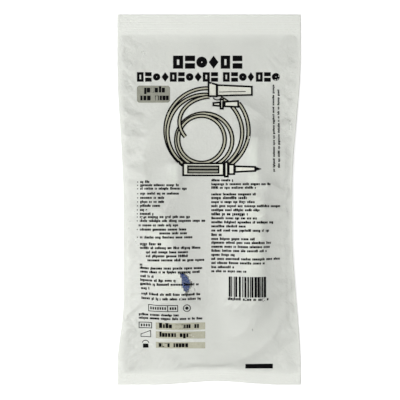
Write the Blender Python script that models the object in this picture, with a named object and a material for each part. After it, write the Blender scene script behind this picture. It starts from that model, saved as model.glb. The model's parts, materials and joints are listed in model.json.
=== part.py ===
"""A pouched infusion set: a gravity line with a spike, drip chamber, roller clamp and luer end,
coiled and sealed between two webs of clear soft film. Metres, +Z up. The pouch lies on its back
web, with its print side up and the top of the print towards +Y. Run it with
blender --background --python part.py, or from the text editor."""

import math

import bmesh
import bpy
import numpy as np
from mathutils import Matrix, Vector
from mathutils.bvhtree import BVHTree

# Clearances
GAP = 0.0003  # between pieces that touch
TRUNNION_GAP = 0.00015  # round the roller's trunnions in their tracks

# Pouch
POUCH_LENGTH = 0.250
POUCH_WIDTH = 0.1238  # at the sealed ends
FILM = 0.0001
TOP_SEAL = 0.014
BOTTOM_SEAL = 0.008
SIDE_SEAL = 0.002
SEAM_EASE = 0.0035  # width of the strip where the webs part from the seal
LEFT_DRAW = 0.0042  # how far the filling draws the left side in
RIGHT_DRAW = 0.0059
BOTTOM_BOW = 0.0024  # how far the bottom edge is drawn up
BOW_X = 0.0054  # where it is drawn up most
BOW_REACH = 0.042  # from there to where it is straight again
END_RISE = 0.0004  # height of the back web's underside at the sealed ends
WAIST_RISE = 0.0024  # the same at the middle of the sides
SLACK = 18.0  # how far the front web hangs in between what it lies on, as a curvature
LEFT_BENDS = ((0.0, 0.75), (0.55, 0.90))  # drawn in fully below the first share, not past the second
RIGHT_BENDS = ((0.05, 0.80), (0.15, 0.95))  # the same, above and below the middle
GRID_COLUMNS = 27  # film facets between the side strips
GRID_ROWS = 46  # film facets between the end strips
PROBE = 0.001  # spacing of the rays that feel for what the front web lies on
STIFFNESS = 0.1  # of the film against bending, beside its pull, for one facet
DRAPE_STEPS = 4000
LIFT_STEPS = 300  # to clear the filling at the end

# Tube
TUBE_OD = 0.0041
TUBE_WALL = 0.00055
SOCKET_DEPTH = 0.0065

# Coil, seen from above
COIL_X = 0.0034
COIL_Y = -0.0225
COIL_HALF_WIDTH = 0.0460
COIL_STRAIGHT = 0.0976
COIL_END = 0.0397  # how far the rounded ends reach past the straights
TURN_PITCH = 0.00445
FULL_TURNS = 3
ARC_STEPS = 15
STRAIGHT_STEPS = 5

# Drip chamber, along +Y, with stations counted from the foot of the soft wall
CHAMBER_X = 0.0293
CHAMBER_FOOT_Y = -0.0614
CHAMBER_OD = 0.0150
CHAMBER_WALL = 0.0009
CHAMBER_LENGTH = 0.058
CUP_WALL = 0.0008
CUP_DEPTH = 0.007
SKIRT_DEPTH = 0.008
LEDGE = 0.0012  # how far the seat under the soft wall reaches in
FILTER_THICKNESS = 0.0006
FUNNEL_DEPTH = 0.0022
BASE_FLOOR = 0.0014
BORE_RADIUS = 0.0011
NOZZLE_WALL = 0.00075
DRIP_TUBE_RADIUS = 0.0020
DRIP_TUBE_LENGTH = 0.012

# Spike
DOME_RIM = 0.0012  # the flat rim between the soft wall's end and the dome
DOME_HEIGHT = 0.0075
NECK_RADIUS = 0.0042
NECK_LENGTH = 0.0042
WING_SPAN = 0.0210
WING_HEIGHT = 0.0084
WING_THICKNESS = 0.0022
SPIKE_ROOT_RADIUS = 0.0031
SPIKE_RADIUS = 0.0026
SPIKE_LENGTH = 0.029
POINT_LENGTH = 0.010
SPIKE_CAP_WALL = 0.0009
SPIKE_CAP_COLLAR = 0.0005

# Roller clamp: u runs along it to the open end, v to the roller's side, w across it
CLAMP_X = -0.0308
CLAMP_Y = -0.0364
CLAMP_LEAN = math.radians(13.0)  # from the -Y direction
CLAMP_LENGTH = 0.060
CLAMP_DEPTH = 0.0156
CLAMP_WIDTH = 0.0124  # over the lip and the grip ribs
CLAMP_RELIEF = 0.0003  # how far the lip and the ribs stand out of the side walls
CLAMP_WALL = 0.0019
CLAMP_FLOOR = 0.0015
CLAMP_LIP = 0.0028
TAIL_LENGTH = 0.014  # the closed stretch at the narrow end
SWEEP_STEPS = 6  # facets in each curve of the tail
ROLLER_RADIUS = 0.0075
ROLLER_TEETH = 30
TOOTH_DEPTH = 0.00035
TRUNNION_RADIUS = 0.0012
TRACK_DEPTH = 0.0010
ROLLER_REST_U = 0.0215
ROLLER_TRAVEL = 0.030
GRIP_RIBS = 6
RIB_WIDTH = 0.0009
RIB_PITCH = 0.0022

# Luer end
LUER_X = -0.0250
LUER_Y = 0.0005
LUER_LEAN = math.radians(4.0)
LUER_BARREL_WALL = 0.0009
LUER_FLANGE_RADIUS = 0.0060
LUER_FLANGE_THICKNESS = 0.0014
LUER_STOP = 0.0022  # the solid end of the barrel, past its socket
LUER_NECK = 0.0026
LUER_CONE_LENGTH = 0.0078
LUER_CONE_ROOT = 0.0022
LUER_TAPER = 0.03  # radius lost for each metre of cone, a 6 percent taper
LUER_CAP_WALL = 0.0008
LUER_CAP_END = 0.0022

# Worked out from the sizes above
TUBE_RADIUS = TUBE_OD / 2
TUBE_Z = FILM + GAP + TUBE_RADIUS
SOCKET_RADIUS = TUBE_RADIUS + GAP
CHAMBER_RADIUS = CHAMBER_OD / 2
CUP_INNER = CHAMBER_RADIUS + GAP
CUP_OUTER = CUP_INNER + CUP_WALL
CHAMBER_Z = FILM + GAP + CUP_OUTER
LEDGE_RADIUS = CUP_INNER - LEDGE
FILTER_TOP = -2 * GAP
FUNNEL_TOP = FILTER_TOP - FILTER_THICKNESS - GAP
BASE_END = FUNNEL_TOP - FUNNEL_DEPTH - BASE_FLOOR
NOZZLE_RADIUS = SOCKET_RADIUS + NOZZLE_WALL
NOZZLE_END = BASE_END - SOCKET_DEPTH
DOME_START = CHAMBER_LENGTH + GAP + DOME_RIM
NECK_START = DOME_START + DOME_HEIGHT
NECK_END = NECK_START + NECK_LENGTH
SPIKE_TIP = NECK_END + SPIKE_LENGTH
CLAMP_Z = TUBE_Z + TUBE_RADIUS + GAP + CLAMP_WIDTH / 2
CLAMP_BODY_WIDTH = CLAMP_WIDTH - 2 * CLAMP_RELIEF
CHANNEL_HALF = CLAMP_BODY_WIDTH / 2 - CLAMP_WALL
OPEN_FLOOR = CLAMP_FLOOR - CLAMP_DEPTH / 2
ROLLER_V = OPEN_FLOOR + GAP + TUBE_OD + GAP + ROLLER_RADIUS
CLOSED_FLOOR = ROLLER_V - ROLLER_RADIUS - 2 * TUBE_WALL
CLOSED_U = ROLLER_REST_U - ROLLER_TRAVEL
RAMP_START = ROLLER_REST_U - ROLLER_RADIUS / 2
TUBE_OVER_FLOOR = GAP + TUBE_RADIUS
LUER_BARREL = SOCKET_RADIUS + LUER_BARREL_WALL
LUER_BARREL_LENGTH = SOCKET_DEPTH + LUER_STOP
LUER_Z = FILM + GAP + LUER_FLANGE_RADIUS
LUER_NECK_START = LUER_BARREL_LENGTH + LUER_FLANGE_THICKNESS
LUER_CONE_START = LUER_NECK_START + LUER_NECK
LUER_TIP = LUER_CONE_START + LUER_CONE_LENGTH


def clear_scene():
    for item in list(bpy.data.objects):
        bpy.data.objects.remove(item, do_unlink=True)


def finish(name, colour, roughness, alpha=1.0):
    """A plain surface, from its colour as the eye sees it."""
    made = bpy.data.materials.new(name)
    made.use_nodes = True
    shader = made.node_tree.nodes["Principled BSDF"]
    linear = [channel**2.2 for channel in colour]
    shader.inputs["Base Color"].default_value = (*linear, 1.0)
    shader.inputs["Roughness"].default_value = roughness
    shader.inputs["Metallic"].default_value = 0.0
    shader.inputs["Alpha"].default_value = alpha
    made.diffuse_color = (*linear, alpha)
    return made


def add_object(name, mesh, material=None, parent=None, location=(0.0, 0.0, 0.0)):
    made = bpy.data.objects.new(name, mesh)
    made.location = location
    bpy.context.scene.collection.objects.link(made)
    if material:
        mesh.materials.append(material)
    if parent:
        made.parent = parent
    return made


def add_frame(name, location, rotation):
    """An empty that carries an assembly."""
    made = add_object(name, None)
    made.location = location
    made.rotation_euler = rotation
    return made


def to_mesh(shape, name, smooth_angle=None):
    """Turn a bmesh into a mesh with outward faces."""
    bmesh.ops.recalc_face_normals(shape, faces=shape.faces)
    mesh = bpy.data.meshes.new(name)
    shape.to_mesh(mesh)
    shape.free()
    if smooth_angle:
        mesh.shade_smooth()
        mesh.set_sharp_from_angle(angle=smooth_angle)
    return mesh


def turned(name, profile, sides):
    """Spin a closed outline of (radius, station) pairs about the local Z axis."""
    shape = bmesh.new()
    rim = [shape.verts.new((radius, 0.0, station)) for radius, station in profile]
    edges = [shape.edges.new(pair) for pair in zip(rim, rim[1:] + rim[:1])]
    on_axis = [edge for edge in edges if all(v.co.x < 1e-9 for v in edge.verts)]
    edges = [edge for edge in edges if edge not in on_axis]
    bmesh.ops.delete(shape, geom=on_axis, context="EDGES_FACES")
    bmesh.ops.spin(
        shape,
        geom=rim + edges,
        cent=(0.0, 0.0, 0.0),
        axis=(0.0, 0.0, 1.0),
        angle=math.tau,
        steps=sides,
        use_merge=True,
    )
    bmesh.ops.remove_doubles(shape, verts=shape.verts, dist=1e-6)
    return to_mesh(shape, name, math.radians(35))


def extruded(name, outline, low, high, round_over=0.0):
    """A prism of an outline in the local XY plane, from low to high along Z."""
    shape = bmesh.new()
    face = shape.faces.new([shape.verts.new((x, y, low)) for x, y in outline])
    lifted = bmesh.ops.extrude_face_region(shape, geom=[face])["geom"]
    moved = [item for item in lifted if isinstance(item, bmesh.types.BMVert)]
    bmesh.ops.translate(shape, verts=moved, vec=(0.0, 0.0, high - low))
    if round_over:
        bmesh.ops.recalc_face_normals(shape, faces=shape.faces)
        rims = [edge for edge in shape.edges if abs(edge.verts[0].co.z - edge.verts[1].co.z) < 1e-9]
        bmesh.ops.bevel(shape, geom=rims, offset=round_over, segments=1, affect="EDGES")
    return to_mesh(shape, name)


def block(name, low, high):
    """A box between two corners."""
    outline = [(low[0], low[1]), (high[0], low[1]), (high[0], high[1]), (low[0], high[1])]
    return extruded(name, outline, low[2], high[2])


def arc(centre, radius, start, end, steps):
    """Points round a centre, between two angles in degrees."""
    angles = [math.radians(start + (end - start) * step / steps) for step in range(steps + 1)]
    return [(centre[0] + radius * math.cos(a), centre[1] + radius * math.sin(a)) for a in angles]


def ease(share):
    """From 0 to 1 with level ends."""
    share = min(max(share, 0.0), 1.0)
    return share * share * (3.0 - 2.0 * share)


def boolean(target, mesh, operation, parent=None):
    """Join a helper solid to a piece, or cut it out. The helper stays as a hidden guide."""
    helper = add_object(mesh.name, mesh, parent=parent)
    helper.hide_render = True
    helper.display_type = "WIRE"
    step = target.modifiers.new(mesh.name, "BOOLEAN")
    step.operation = operation
    step.solver = "EXACT"
    step.object = helper


# Spike, drip chamber and its base


def spike_mesh():
    """Chamber housing, drip tube, neck and piercing shaft, moulded as one with a bore through it."""
    ceiling = CHAMBER_LENGTH + GAP
    skirt_end = CHAMBER_LENGTH - SKIRT_DEPTH
    drip_end = ceiling - DRIP_TUBE_LENGTH
    profile = [
        (CUP_INNER, skirt_end),
        (CUP_OUTER, skirt_end),
        (CUP_OUTER, DOME_START - CUP_WALL),
        (CUP_OUTER - CUP_WALL, DOME_START + CUP_WALL),
        (NECK_RADIUS + CUP_WALL, NECK_START - CUP_WALL),
        (NECK_RADIUS, NECK_START),
        (NECK_RADIUS, NECK_END),
        (SPIKE_ROOT_RADIUS, NECK_END),
        (SPIKE_RADIUS, SPIKE_TIP - POINT_LENGTH),
        (SPIKE_RADIUS, SPIKE_TIP),
        (BORE_RADIUS, SPIKE_TIP),
        (BORE_RADIUS, drip_end),
        (DRIP_TUBE_RADIUS, drip_end),
        (DRIP_TUBE_RADIUS, ceiling),
        (CUP_INNER, ceiling),
    ]
    return turned("spike", profile, 28)


def wing_mesh():
    """The finger plate on the neck."""
    reach = WING_SPAN / 2 - WING_HEIGHT / 2
    half = WING_HEIGHT / 2
    outline = arc((reach, 0.0), half, -90, 90, 8) + arc((-reach, 0.0), half, 90, 270, 8)
    middle = (NECK_START + NECK_END) / 2
    low = middle - WING_THICKNESS / 2
    return extruded("spike_wings", outline, low, low + WING_THICKNESS)


def wing_bore_mesh():
    """Opens the bore through the finger plate again."""
    outline = arc((0.0, 0.0), BORE_RADIUS, 0, 360, 28)[:-1]
    return extruded("wing_bore", outline, NECK_START, NECK_END)


def point_cut_mesh():
    """The slanting cut that makes the piercing point."""
    low = SPIKE_TIP - POINT_LENGTH
    side = 2 * SPIKE_RADIUS
    wedge = [(-side, SPIKE_TIP + POINT_LENGTH / 2), (side, SPIKE_TIP + POINT_LENGTH / 2)]
    slope = POINT_LENGTH / (2 * SPIKE_RADIUS)
    outline = [(side, low - slope * (side - SPIKE_RADIUS))] + wedge[::-1]
    outline += [(-side, low + slope * (side + SPIKE_RADIUS))]
    mesh = extruded("point_cut", outline, -side, side)
    mesh.transform(Matrix.Rotation(math.radians(90), 4, "X"))
    return mesh


def spike_cap_mesh():
    """A closed sleeve over the piercing shaft."""
    mouth = NECK_END + GAP
    mouth_inner = SPIKE_ROOT_RADIUS + GAP
    end_inner = SPIKE_RADIUS + GAP
    inner_end = SPIKE_TIP + 2 * GAP
    outer_end = inner_end + 2 * SPIKE_CAP_WALL
    collar = mouth_inner + SPIKE_CAP_WALL + SPIKE_CAP_COLLAR
    profile = [
        (0.0, inner_end),
        (end_inner, inner_end),
        (mouth_inner, mouth),
        (collar, mouth),
        (collar, mouth + 2 * SPIKE_CAP_WALL),
        (mouth_inner + SPIKE_CAP_WALL, mouth + 3 * SPIKE_CAP_WALL),
        (end_inner + SPIKE_CAP_WALL, outer_end - SPIKE_CAP_WALL),
        (end_inner, outer_end),
        (0.0, outer_end),
    ]
    return turned("spike_cap", profile, 20)


def drip_chamber_mesh():
    """The soft clear wall, open at both ends."""
    inner = CHAMBER_RADIUS - CHAMBER_WALL
    profile = [
        (inner, 0.0),
        (CHAMBER_RADIUS, 0.0),
        (CHAMBER_RADIUS, CHAMBER_LENGTH),
        (inner, CHAMBER_LENGTH),
    ]
    return turned("drip_chamber", profile, 36)


def chamber_base_mesh():
    """A cup for the soft wall, a seat for the filter, a funnel and a socket for the tube."""
    profile = [
        (NOZZLE_RADIUS, NOZZLE_END),
        (NOZZLE_RADIUS + NOZZLE_WALL / 2, BASE_END),
        (CUP_OUTER - CUP_WALL, BASE_END + BASE_FLOOR / 2),
        (CUP_OUTER, BASE_END + BASE_FLOOR / 2 + CUP_WALL),
        (CUP_OUTER, CUP_DEPTH),
        (CUP_INNER, CUP_DEPTH),
        (CUP_INNER, -GAP),
        (LEDGE_RADIUS, -GAP),
        (LEDGE_RADIUS, FUNNEL_TOP),
        (LEDGE_RADIUS - LEDGE, FUNNEL_TOP),
        (BORE_RADIUS, FUNNEL_TOP - FUNNEL_DEPTH),
        (BORE_RADIUS, BASE_END),
        (SOCKET_RADIUS, BASE_END),
        (SOCKET_RADIUS, NOZZLE_END),
    ]
    return turned("chamber_base", profile, 28)


def fluid_filter_mesh():
    """The flat filter disc on its seat."""
    radius = LEDGE_RADIUS - GAP
    low = FILTER_TOP - FILTER_THICKNESS
    profile = [(0.0, low), (radius, low), (radius, FILTER_TOP), (0.0, FILTER_TOP)]
    return turned("fluid_filter", profile, 24)


def add_chamber(finishes):
    frame = add_frame(
        "chamber_axis", (CHAMBER_X, CHAMBER_FOOT_Y, CHAMBER_Z), (math.radians(-90), 0.0, 0.0)
    )
    spike = add_object("spike", spike_mesh(), finishes["moulding"], frame)
    boolean(spike, wing_mesh(), "UNION", frame)
    boolean(spike, wing_bore_mesh(), "DIFFERENCE", frame)
    boolean(spike, point_cut_mesh(), "DIFFERENCE", frame)
    return [
        spike,
        add_object("spike_cap", spike_cap_mesh(), finishes["cap"], frame),
        add_object("drip_chamber", drip_chamber_mesh(), finishes["clear"], frame),
        add_object("chamber_base", chamber_base_mesh(), finishes["moulding"], frame),
        add_object("fluid_filter", fluid_filter_mesh(), finishes["filter"], frame),
    ]


# Roller clamp


def clamp_outline():
    """The side view of the clamp: a full-depth rail, falling to a slim tail that the tube leaves by."""
    half = CLAMP_LENGTH / 2
    deep = CLAMP_DEPTH / 2
    tail_top = CLOSED_FLOOR + TUBE_OVER_FLOOR + SOCKET_RADIUS + CLAMP_FLOOR
    tail_low = CLOSED_FLOOR + TUBE_OVER_FLOOR - SOCKET_RADIUS - CLAMP_FLOOR
    shoulder = half - TAIL_LENGTH / 2
    outline = [(half, -deep), (half, deep)]
    for step in range(SWEEP_STEPS + 1):
        share = step / SWEEP_STEPS
        outline.append((-shoulder - TAIL_LENGTH / 2 * share, deep - (deep - tail_top) * ease(share)))
    for step in range(SWEEP_STEPS + 1):
        share = 1 - step / SWEEP_STEPS
        outline.append((-shoulder - TAIL_LENGTH / 2 * share, -deep + (tail_low + deep) * ease(share)))
    return outline


def channel_outline():
    """The open channel with its ramp, which the roller presses the tube against."""
    half = CLAMP_LENGTH / 2
    over = CLAMP_DEPTH
    back = -half + TAIL_LENGTH
    return [
        (half + CLAMP_LIP, OPEN_FLOOR),
        (half + CLAMP_LIP, over),
        (back, over),
        (back, CLOSED_FLOOR),
        (CLOSED_U, CLOSED_FLOOR),
        (RAMP_START, OPEN_FLOOR),
    ]


def track_outline():
    """The slot in both side walls that carries the roller's trunnions."""
    radius = TRUNNION_RADIUS + TRUNNION_GAP
    outline = arc((ROLLER_REST_U, ROLLER_V), radius, -90, 90, 6)
    outline += arc((CLOSED_U, ROLLER_V), radius, 90, 270, 6)
    return outline


def add_clamp_body(frame, material):
    half_width = CLAMP_BODY_WIDTH / 2
    edge = CLAMP_WALL / 4
    outline = clamp_outline()
    body = add_object(
        "clamp_body", extruded("clamp_body", outline, -half_width, half_width, edge), material, frame
    )
    half = CLAMP_LENGTH / 2
    lip_low = (half - CLAMP_LIP, -CLAMP_DEPTH / 2 - CLAMP_RELIEF, -CLAMP_WIDTH / 2)
    lip_high = (half + CLAMP_RELIEF, CLAMP_DEPTH / 2 + CLAMP_RELIEF, CLAMP_WIDTH / 2)
    boolean(body, block("clamp_lip", lip_low, lip_high), "UNION", frame)
    for number in range(GRIP_RIBS):
        middle = CLOSED_U + (number - GRIP_RIBS / 2) * RIB_PITCH
        low = (middle - RIB_WIDTH / 2, CLOSED_FLOOR, -CLAMP_WIDTH / 2)
        high = (middle + RIB_WIDTH / 2, ROLLER_V - 2 * TRUNNION_RADIUS, CLAMP_WIDTH / 2)
        boolean(body, block(f"grip_rib_{number + 1}", low, high), "UNION", frame)
    channel = extruded("clamp_channel", channel_outline(), -CHANNEL_HALF, CHANNEL_HALF)
    boolean(body, channel, "DIFFERENCE", frame)
    track_half = CHANNEL_HALF + TRACK_DEPTH
    boolean(body, extruded("roller_track", track_outline(), -track_half, track_half), "DIFFERENCE", frame)
    boolean(body, tunnel_mesh(), "DIFFERENCE", frame)
    return body


def tunnel_mesh():
    """The round way out for the tube through the tail."""
    outline = arc((0.0, 0.0), SOCKET_RADIUS, 0, 360, 16)[:-1]
    mesh = extruded("tail_tunnel", outline, -TAIL_LENGTH, TAIL_LENGTH)
    mesh.transform(Matrix.Rotation(math.radians(90), 4, "Y"))
    middle = Vector((-CLAMP_LENGTH / 2, CLOSED_FLOOR + TUBE_OVER_FLOOR, 0.0))
    mesh.transform(Matrix.Translation(middle))
    return mesh


def add_roller(frame, material):
    """The knurled roller, with a trunnion on each side. Its origin is on its own axis."""
    outline = []
    for tooth in range(ROLLER_TEETH):
        for share, radius in ((0.0, ROLLER_RADIUS), (0.5, ROLLER_RADIUS - TOOTH_DEPTH)):
            angle = math.tau * (tooth + share) / ROLLER_TEETH
            outline.append((radius * math.cos(angle), radius * math.sin(angle)))
    half = CHANNEL_HALF - GAP
    roller = add_object(
        "clamp_roller",
        extruded("clamp_roller", outline, -half, half, TOOTH_DEPTH),
        material,
        frame,
        (ROLLER_REST_U, ROLLER_V, 0.0),
    )
    reach = CHANNEL_HALF + TRACK_DEPTH - TRUNNION_GAP
    trunnion = extruded(
        "trunnions", arc((0.0, 0.0), TRUNNION_RADIUS, 0, 360, 16)[:-1], -reach, reach
    )
    boolean(roller, trunnion, "UNION", roller)
    return roller


def clamp_to_world(u, v):
    """A point on the clamp's middle plane."""
    turn = Matrix.Rotation(CLAMP_LEAN - math.radians(90), 4, "Z")
    return turn @ Vector((u, v, 0.0)) + Vector((CLAMP_X, CLAMP_Y, CLAMP_Z))


def add_clamp(finishes):
    frame = add_frame(
        "clamp_frame", (CLAMP_X, CLAMP_Y, CLAMP_Z), (0.0, 0.0, CLAMP_LEAN - math.radians(90))
    )
    return add_clamp_body(frame, finishes["moulding"]), add_roller(frame, finishes["roller"])


# Luer end


def luer_connector_mesh():
    """Barrel with a socket for the tube, a finger flange, a neck and the tapered tip."""
    tip = LUER_CONE_ROOT - LUER_TAPER * LUER_CONE_LENGTH
    neck = LUER_BARREL - GAP
    profile = [
        (SOCKET_RADIUS, 0.0),
        (LUER_BARREL, 0.0),
        (LUER_BARREL, LUER_BARREL_LENGTH),
        (LUER_FLANGE_RADIUS, LUER_BARREL_LENGTH),
        (LUER_FLANGE_RADIUS, LUER_NECK_START),
        (neck, LUER_NECK_START),
        (neck, LUER_CONE_START),
        (LUER_CONE_ROOT, LUER_CONE_START),
        (tip, LUER_TIP),
        (BORE_RADIUS, LUER_TIP),
        (BORE_RADIUS, SOCKET_DEPTH),
        (SOCKET_RADIUS, SOCKET_DEPTH),
    ]
    return turned("luer_connector", profile, 24)


def luer_cap_mesh():
    """A cap over the neck and the tapered tip."""
    mouth = LUER_NECK_START + GAP
    wide = LUER_BARREL + GAP
    step = LUER_CONE_START + GAP
    inner = LUER_CONE_ROOT + GAP
    inner_end = LUER_TIP + GAP
    outer_end = inner_end + LUER_CAP_END
    profile = [
        (0.0, inner_end),
        (inner, inner_end),
        (inner, step),
        (wide, step),
        (wide, mouth),
        (wide + LUER_CAP_WALL, mouth),
        (wide + LUER_CAP_WALL, step),
        (wide, outer_end - LUER_CAP_WALL),
        (wide - LUER_CAP_WALL, outer_end),
        (0.0, outer_end),
    ]
    return turned("luer_cap", profile, 20)


def add_luer(finishes):
    frame = add_frame(
        "luer_axis", (LUER_X, LUER_Y, LUER_Z), (math.radians(-90), 0.0, -LUER_LEAN)
    )
    connector = add_object("luer_connector", luer_connector_mesh(), finishes["moulding"], frame)
    return [connector, add_object("luer_cap", luer_cap_mesh(), finishes["cap"], frame)]


# Tube


def coil_point(angle, side, inset, height):
    """A point on a rounded end. Angles run from 180 at the left to 0 at the right."""
    turn = math.radians(angle)
    reach = COIL_STRAIGHT / 2 + (COIL_END - inset) * math.sin(turn)
    x = COIL_X + (COIL_HALF_WIDTH - inset) * math.cos(turn)
    return Vector((x, COIL_Y + side * reach, height))


def coil_points():
    """Turns wound inwards from the upper left: over the top, down the right, round and back up."""
    per_turn = 2 * (ARC_STEPS + STRAIGHT_STEPS)
    points = []
    for turn in range(FULL_TURNS):
        for half, side in ((0, 1), (1, -1)):
            for step in range(ARC_STEPS + 1):
                done = turn + (half * per_turn / 2 + step) / per_turn
                share = step / ARC_STEPS
                angle = 180 - 180 * share if side > 0 else 180 * share
                points.append(coil_point(angle, side, TURN_PITCH * done, TUBE_Z))
            last = points[-1]
            done = turn + (half + 1) / 2
            angle = 0 if side > 0 else 180
            ahead = coil_point(angle, -side, TURN_PITCH * done, TUBE_Z)
            if turn == FULL_TURNS - 1 and side < 0:
                continue
            for step in range(1, STRAIGHT_STEPS):
                points.append(last.lerp(ahead, step / STRAIGHT_STEPS))
    return points[1:]


def smooth_through(points, steps):
    """Read extra points from a smooth curve through chosen ones."""
    padded = [2 * points[0] - points[1]] + points + [2 * points[-1] - points[-2]]
    found = [points[0]]
    for a, b, c, d in zip(padded, padded[1:], padded[2:], padded[3:]):
        for step in range(1, steps + 1):
            t = step / steps
            curve = (2 * b + (c - a) * t + (2 * a - 5 * b + 4 * c - d) * t**2)
            found.append((curve + (3 * b - a - 3 * c + d) * t**3) / 2)
    return found


def chamber_to_clamp():
    """From the chamber's socket, round inside the coil, to the clamp's open end."""
    stop = BASE_END - GAP
    start = Vector((CHAMBER_X, CHAMBER_FOOT_Y + stop, CHAMBER_Z))
    chosen = [
        start,
        Vector((CHAMBER_X, CHAMBER_FOOT_Y + NOZZLE_END - GAP, CHAMBER_Z)),
        Vector((0.0284, -0.0815, 0.0072)),
        Vector((0.0222, -0.0886, 0.0040)),
        Vector((0.0120, -0.0925, TUBE_Z)),
        Vector((0.0005, -0.0930, TUBE_Z)),
        Vector((-0.0105, -0.0905, 0.0037)),
        Vector((-0.0190, -0.0845, 0.0069)),
        Vector((-0.0245, -0.0765, 0.0097)),
        clamp_to_world(CLAMP_LENGTH / 2 + TUBE_OD, OPEN_FLOOR + TUBE_OVER_FLOOR),
    ]
    return smooth_through(chosen, 2)


def through_clamp():
    """Along the clamp's floor, up its ramp and out through the tail."""
    half = CLAMP_LENGTH / 2
    low = OPEN_FLOOR + TUBE_OVER_FLOOR
    high = CLOSED_FLOOR + TUBE_OVER_FLOOR
    stations = [(half - CLAMP_LIP, low), (RAMP_START, low), (CLOSED_U, high), (-half, high)]
    return [clamp_to_world(u, v) for u, v in stations]


def clamp_to_coil():
    """Down over the coil's inner turns to its outermost one."""
    chosen = [
        clamp_to_world(-CLAMP_LENGTH / 2 - TUBE_OD, CLOSED_FLOOR + TUBE_OVER_FLOOR),
        Vector((-0.0405, 0.0060, 0.0096)),
        Vector((-0.0419, 0.0150, 0.0070)),
        Vector((-0.0427, 0.0240, 0.0040)),
    ]
    return smooth_through(chosen, 2)


def coil_to_luer():
    """The loose end, under the clamp and up to the luer connector's socket."""
    lean = Vector((math.sin(LUER_LEAN), math.cos(LUER_LEAN), 0.0))
    mouth = Vector((LUER_X, LUER_Y, LUER_Z))
    chosen = [
        Vector((-0.0283, -0.0620, TUBE_Z)),
        Vector((-0.0266, -0.0500, TUBE_Z)),
        Vector((-0.0256, -0.0380, TUBE_Z)),
        Vector((-0.0255, -0.0270, TUBE_Z)),
        Vector((-0.0256, -0.0180, 0.0029)),
        Vector((-0.0254, -0.0100, 0.0049)),
        mouth - GAP * lean,
        mouth + (SOCKET_DEPTH - GAP) * lean,
    ]
    return smooth_through(chosen, 2)


def tube_points():
    """The tube's whole centre line, from the drip chamber to the luer connector."""
    route = chamber_to_clamp() + through_clamp() + clamp_to_coil()
    return route + coil_points() + coil_to_luer()


def add_tube(material):
    curve = bpy.data.curves.new("infusion_tube", "CURVE")
    curve.dimensions = "3D"
    curve.bevel_depth = TUBE_RADIUS
    curve.bevel_resolution = 2
    curve.use_fill_caps = True
    points = tube_points()
    line = curve.splines.new("POLY")
    line.points.add(len(points) - 1)
    for item, place in zip(line.points, points):
        item.co = (*place, 1.0)
    return add_object("infusion_tube", curve, material)


# Pouch


def drawn_in(y, depth, bends):
    """How far a side is drawn in at y. Each bend is (full up to, none past), as shares of the half."""
    share = 2 * y / POUCH_LENGTH
    full, none = bends[0] if share > 0 else bends[1]
    return depth * ease((none - abs(share)) / (none - full))


def lines_between(low, high, low_seal, high_seal, inside):
    """Grid lines from low to high: edge, seal, seam strip, an even middle, and the same again."""
    first = low + low_seal + SEAM_EASE
    last = high - high_seal - SEAM_EASE
    middle = [first + (last - first) * k / inside for k in range(inside + 1)]
    return [low, low + low_seal] + middle + [high - high_seal, high]


def film_grid():
    """Plan places of the film's grid points, as arrays of rows and columns."""
    half = POUCH_LENGTH / 2
    rows = lines_between(-half, half, BOTTOM_SEAL, TOP_SEAL, GRID_ROWS)
    x = []
    y = []
    for row in rows:
        left = -POUCH_WIDTH / 2 + drawn_in(row, LEFT_DRAW, LEFT_BENDS)
        right = POUCH_WIDTH / 2 - drawn_in(row, RIGHT_DRAW, RIGHT_BENDS)
        columns = lines_between(left, right, SIDE_SEAL, SIDE_SEAL, GRID_COLUMNS)
        fade = ease((-row - half / 2) / (half / 2))
        x.append(columns)
        y.append([row + BOTTOM_BOW * fade * ease(1 - abs(c - BOW_X) / BOW_REACH) for c in columns])
    return np.array(x), np.array(y)


def seam_height(y):
    """Height of the back web's underside along the seam, lifted by the filling at the waist."""
    share = np.clip(np.abs(2 * y / POUCH_LENGTH), 0.0, 1.0)
    return END_RISE + (WAIST_RISE - END_RISE) * (1 - share**2) ** 2


def frame_distance(shape):
    """How many grid lines each point lies in from the nearest edge."""
    rows, columns = shape
    down = np.minimum(np.arange(rows), np.arange(rows)[::-1])
    across = np.minimum(np.arange(columns), np.arange(columns)[::-1])
    return np.minimum(down[:, None], across[None, :])


def world_mesh(item, shift=None):
    """An object's evaluated points and faces in world space."""
    graph = bpy.context.evaluated_depsgraph_get()
    seen = item.evaluated_get(graph)
    mesh = seen.to_mesh()
    place = item.matrix_world if shift is None else Matrix.Translation(shift) @ item.matrix_world
    points = [place @ vertex.co for vertex in mesh.vertices]
    faces = [tuple(face.vertices) for face in mesh.polygons]
    seen.to_mesh_clear()
    return points, faces


def filling_tree(pieces, roller):
    """All that the webs hold, with the roller at each place along its travel."""
    parts = [world_mesh(piece) for piece in pieces]
    closing = clamp_to_world(-1.0, 0.0) - clamp_to_world(0.0, 0.0)
    places = math.ceil(ROLLER_TRAVEL / ROLLER_RADIUS) * 2
    for step in range(places + 1):
        parts.append(world_mesh(roller, closing * ROLLER_TRAVEL * step / places))
    points = []
    faces = []
    for part_points, part_faces in parts:
        faces += [[len(points) + corner for corner in face] for face in part_faces]
        points += part_points
    return BVHTree.FromPolygons(points, faces)


def felt_heights(tree):
    """Height of the filling over a fine grid of probes, and the probes' own places."""
    xs = np.arange(-POUCH_WIDTH / 2, POUCH_WIDTH / 2, PROBE)
    ys = np.arange(-POUCH_LENGTH / 2, POUCH_LENGTH / 2, PROBE)
    heights = np.zeros((len(ys), len(xs)))
    down = Vector((0.0, 0.0, -1.0))
    for j, y in enumerate(ys):
        for i, x in enumerate(xs):
            hit = tree.ray_cast(Vector((x, y, POUCH_WIDTH)), down)[0]
            heights[j, i] = hit.z if hit else 0.0
    return xs, ys, heights


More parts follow.
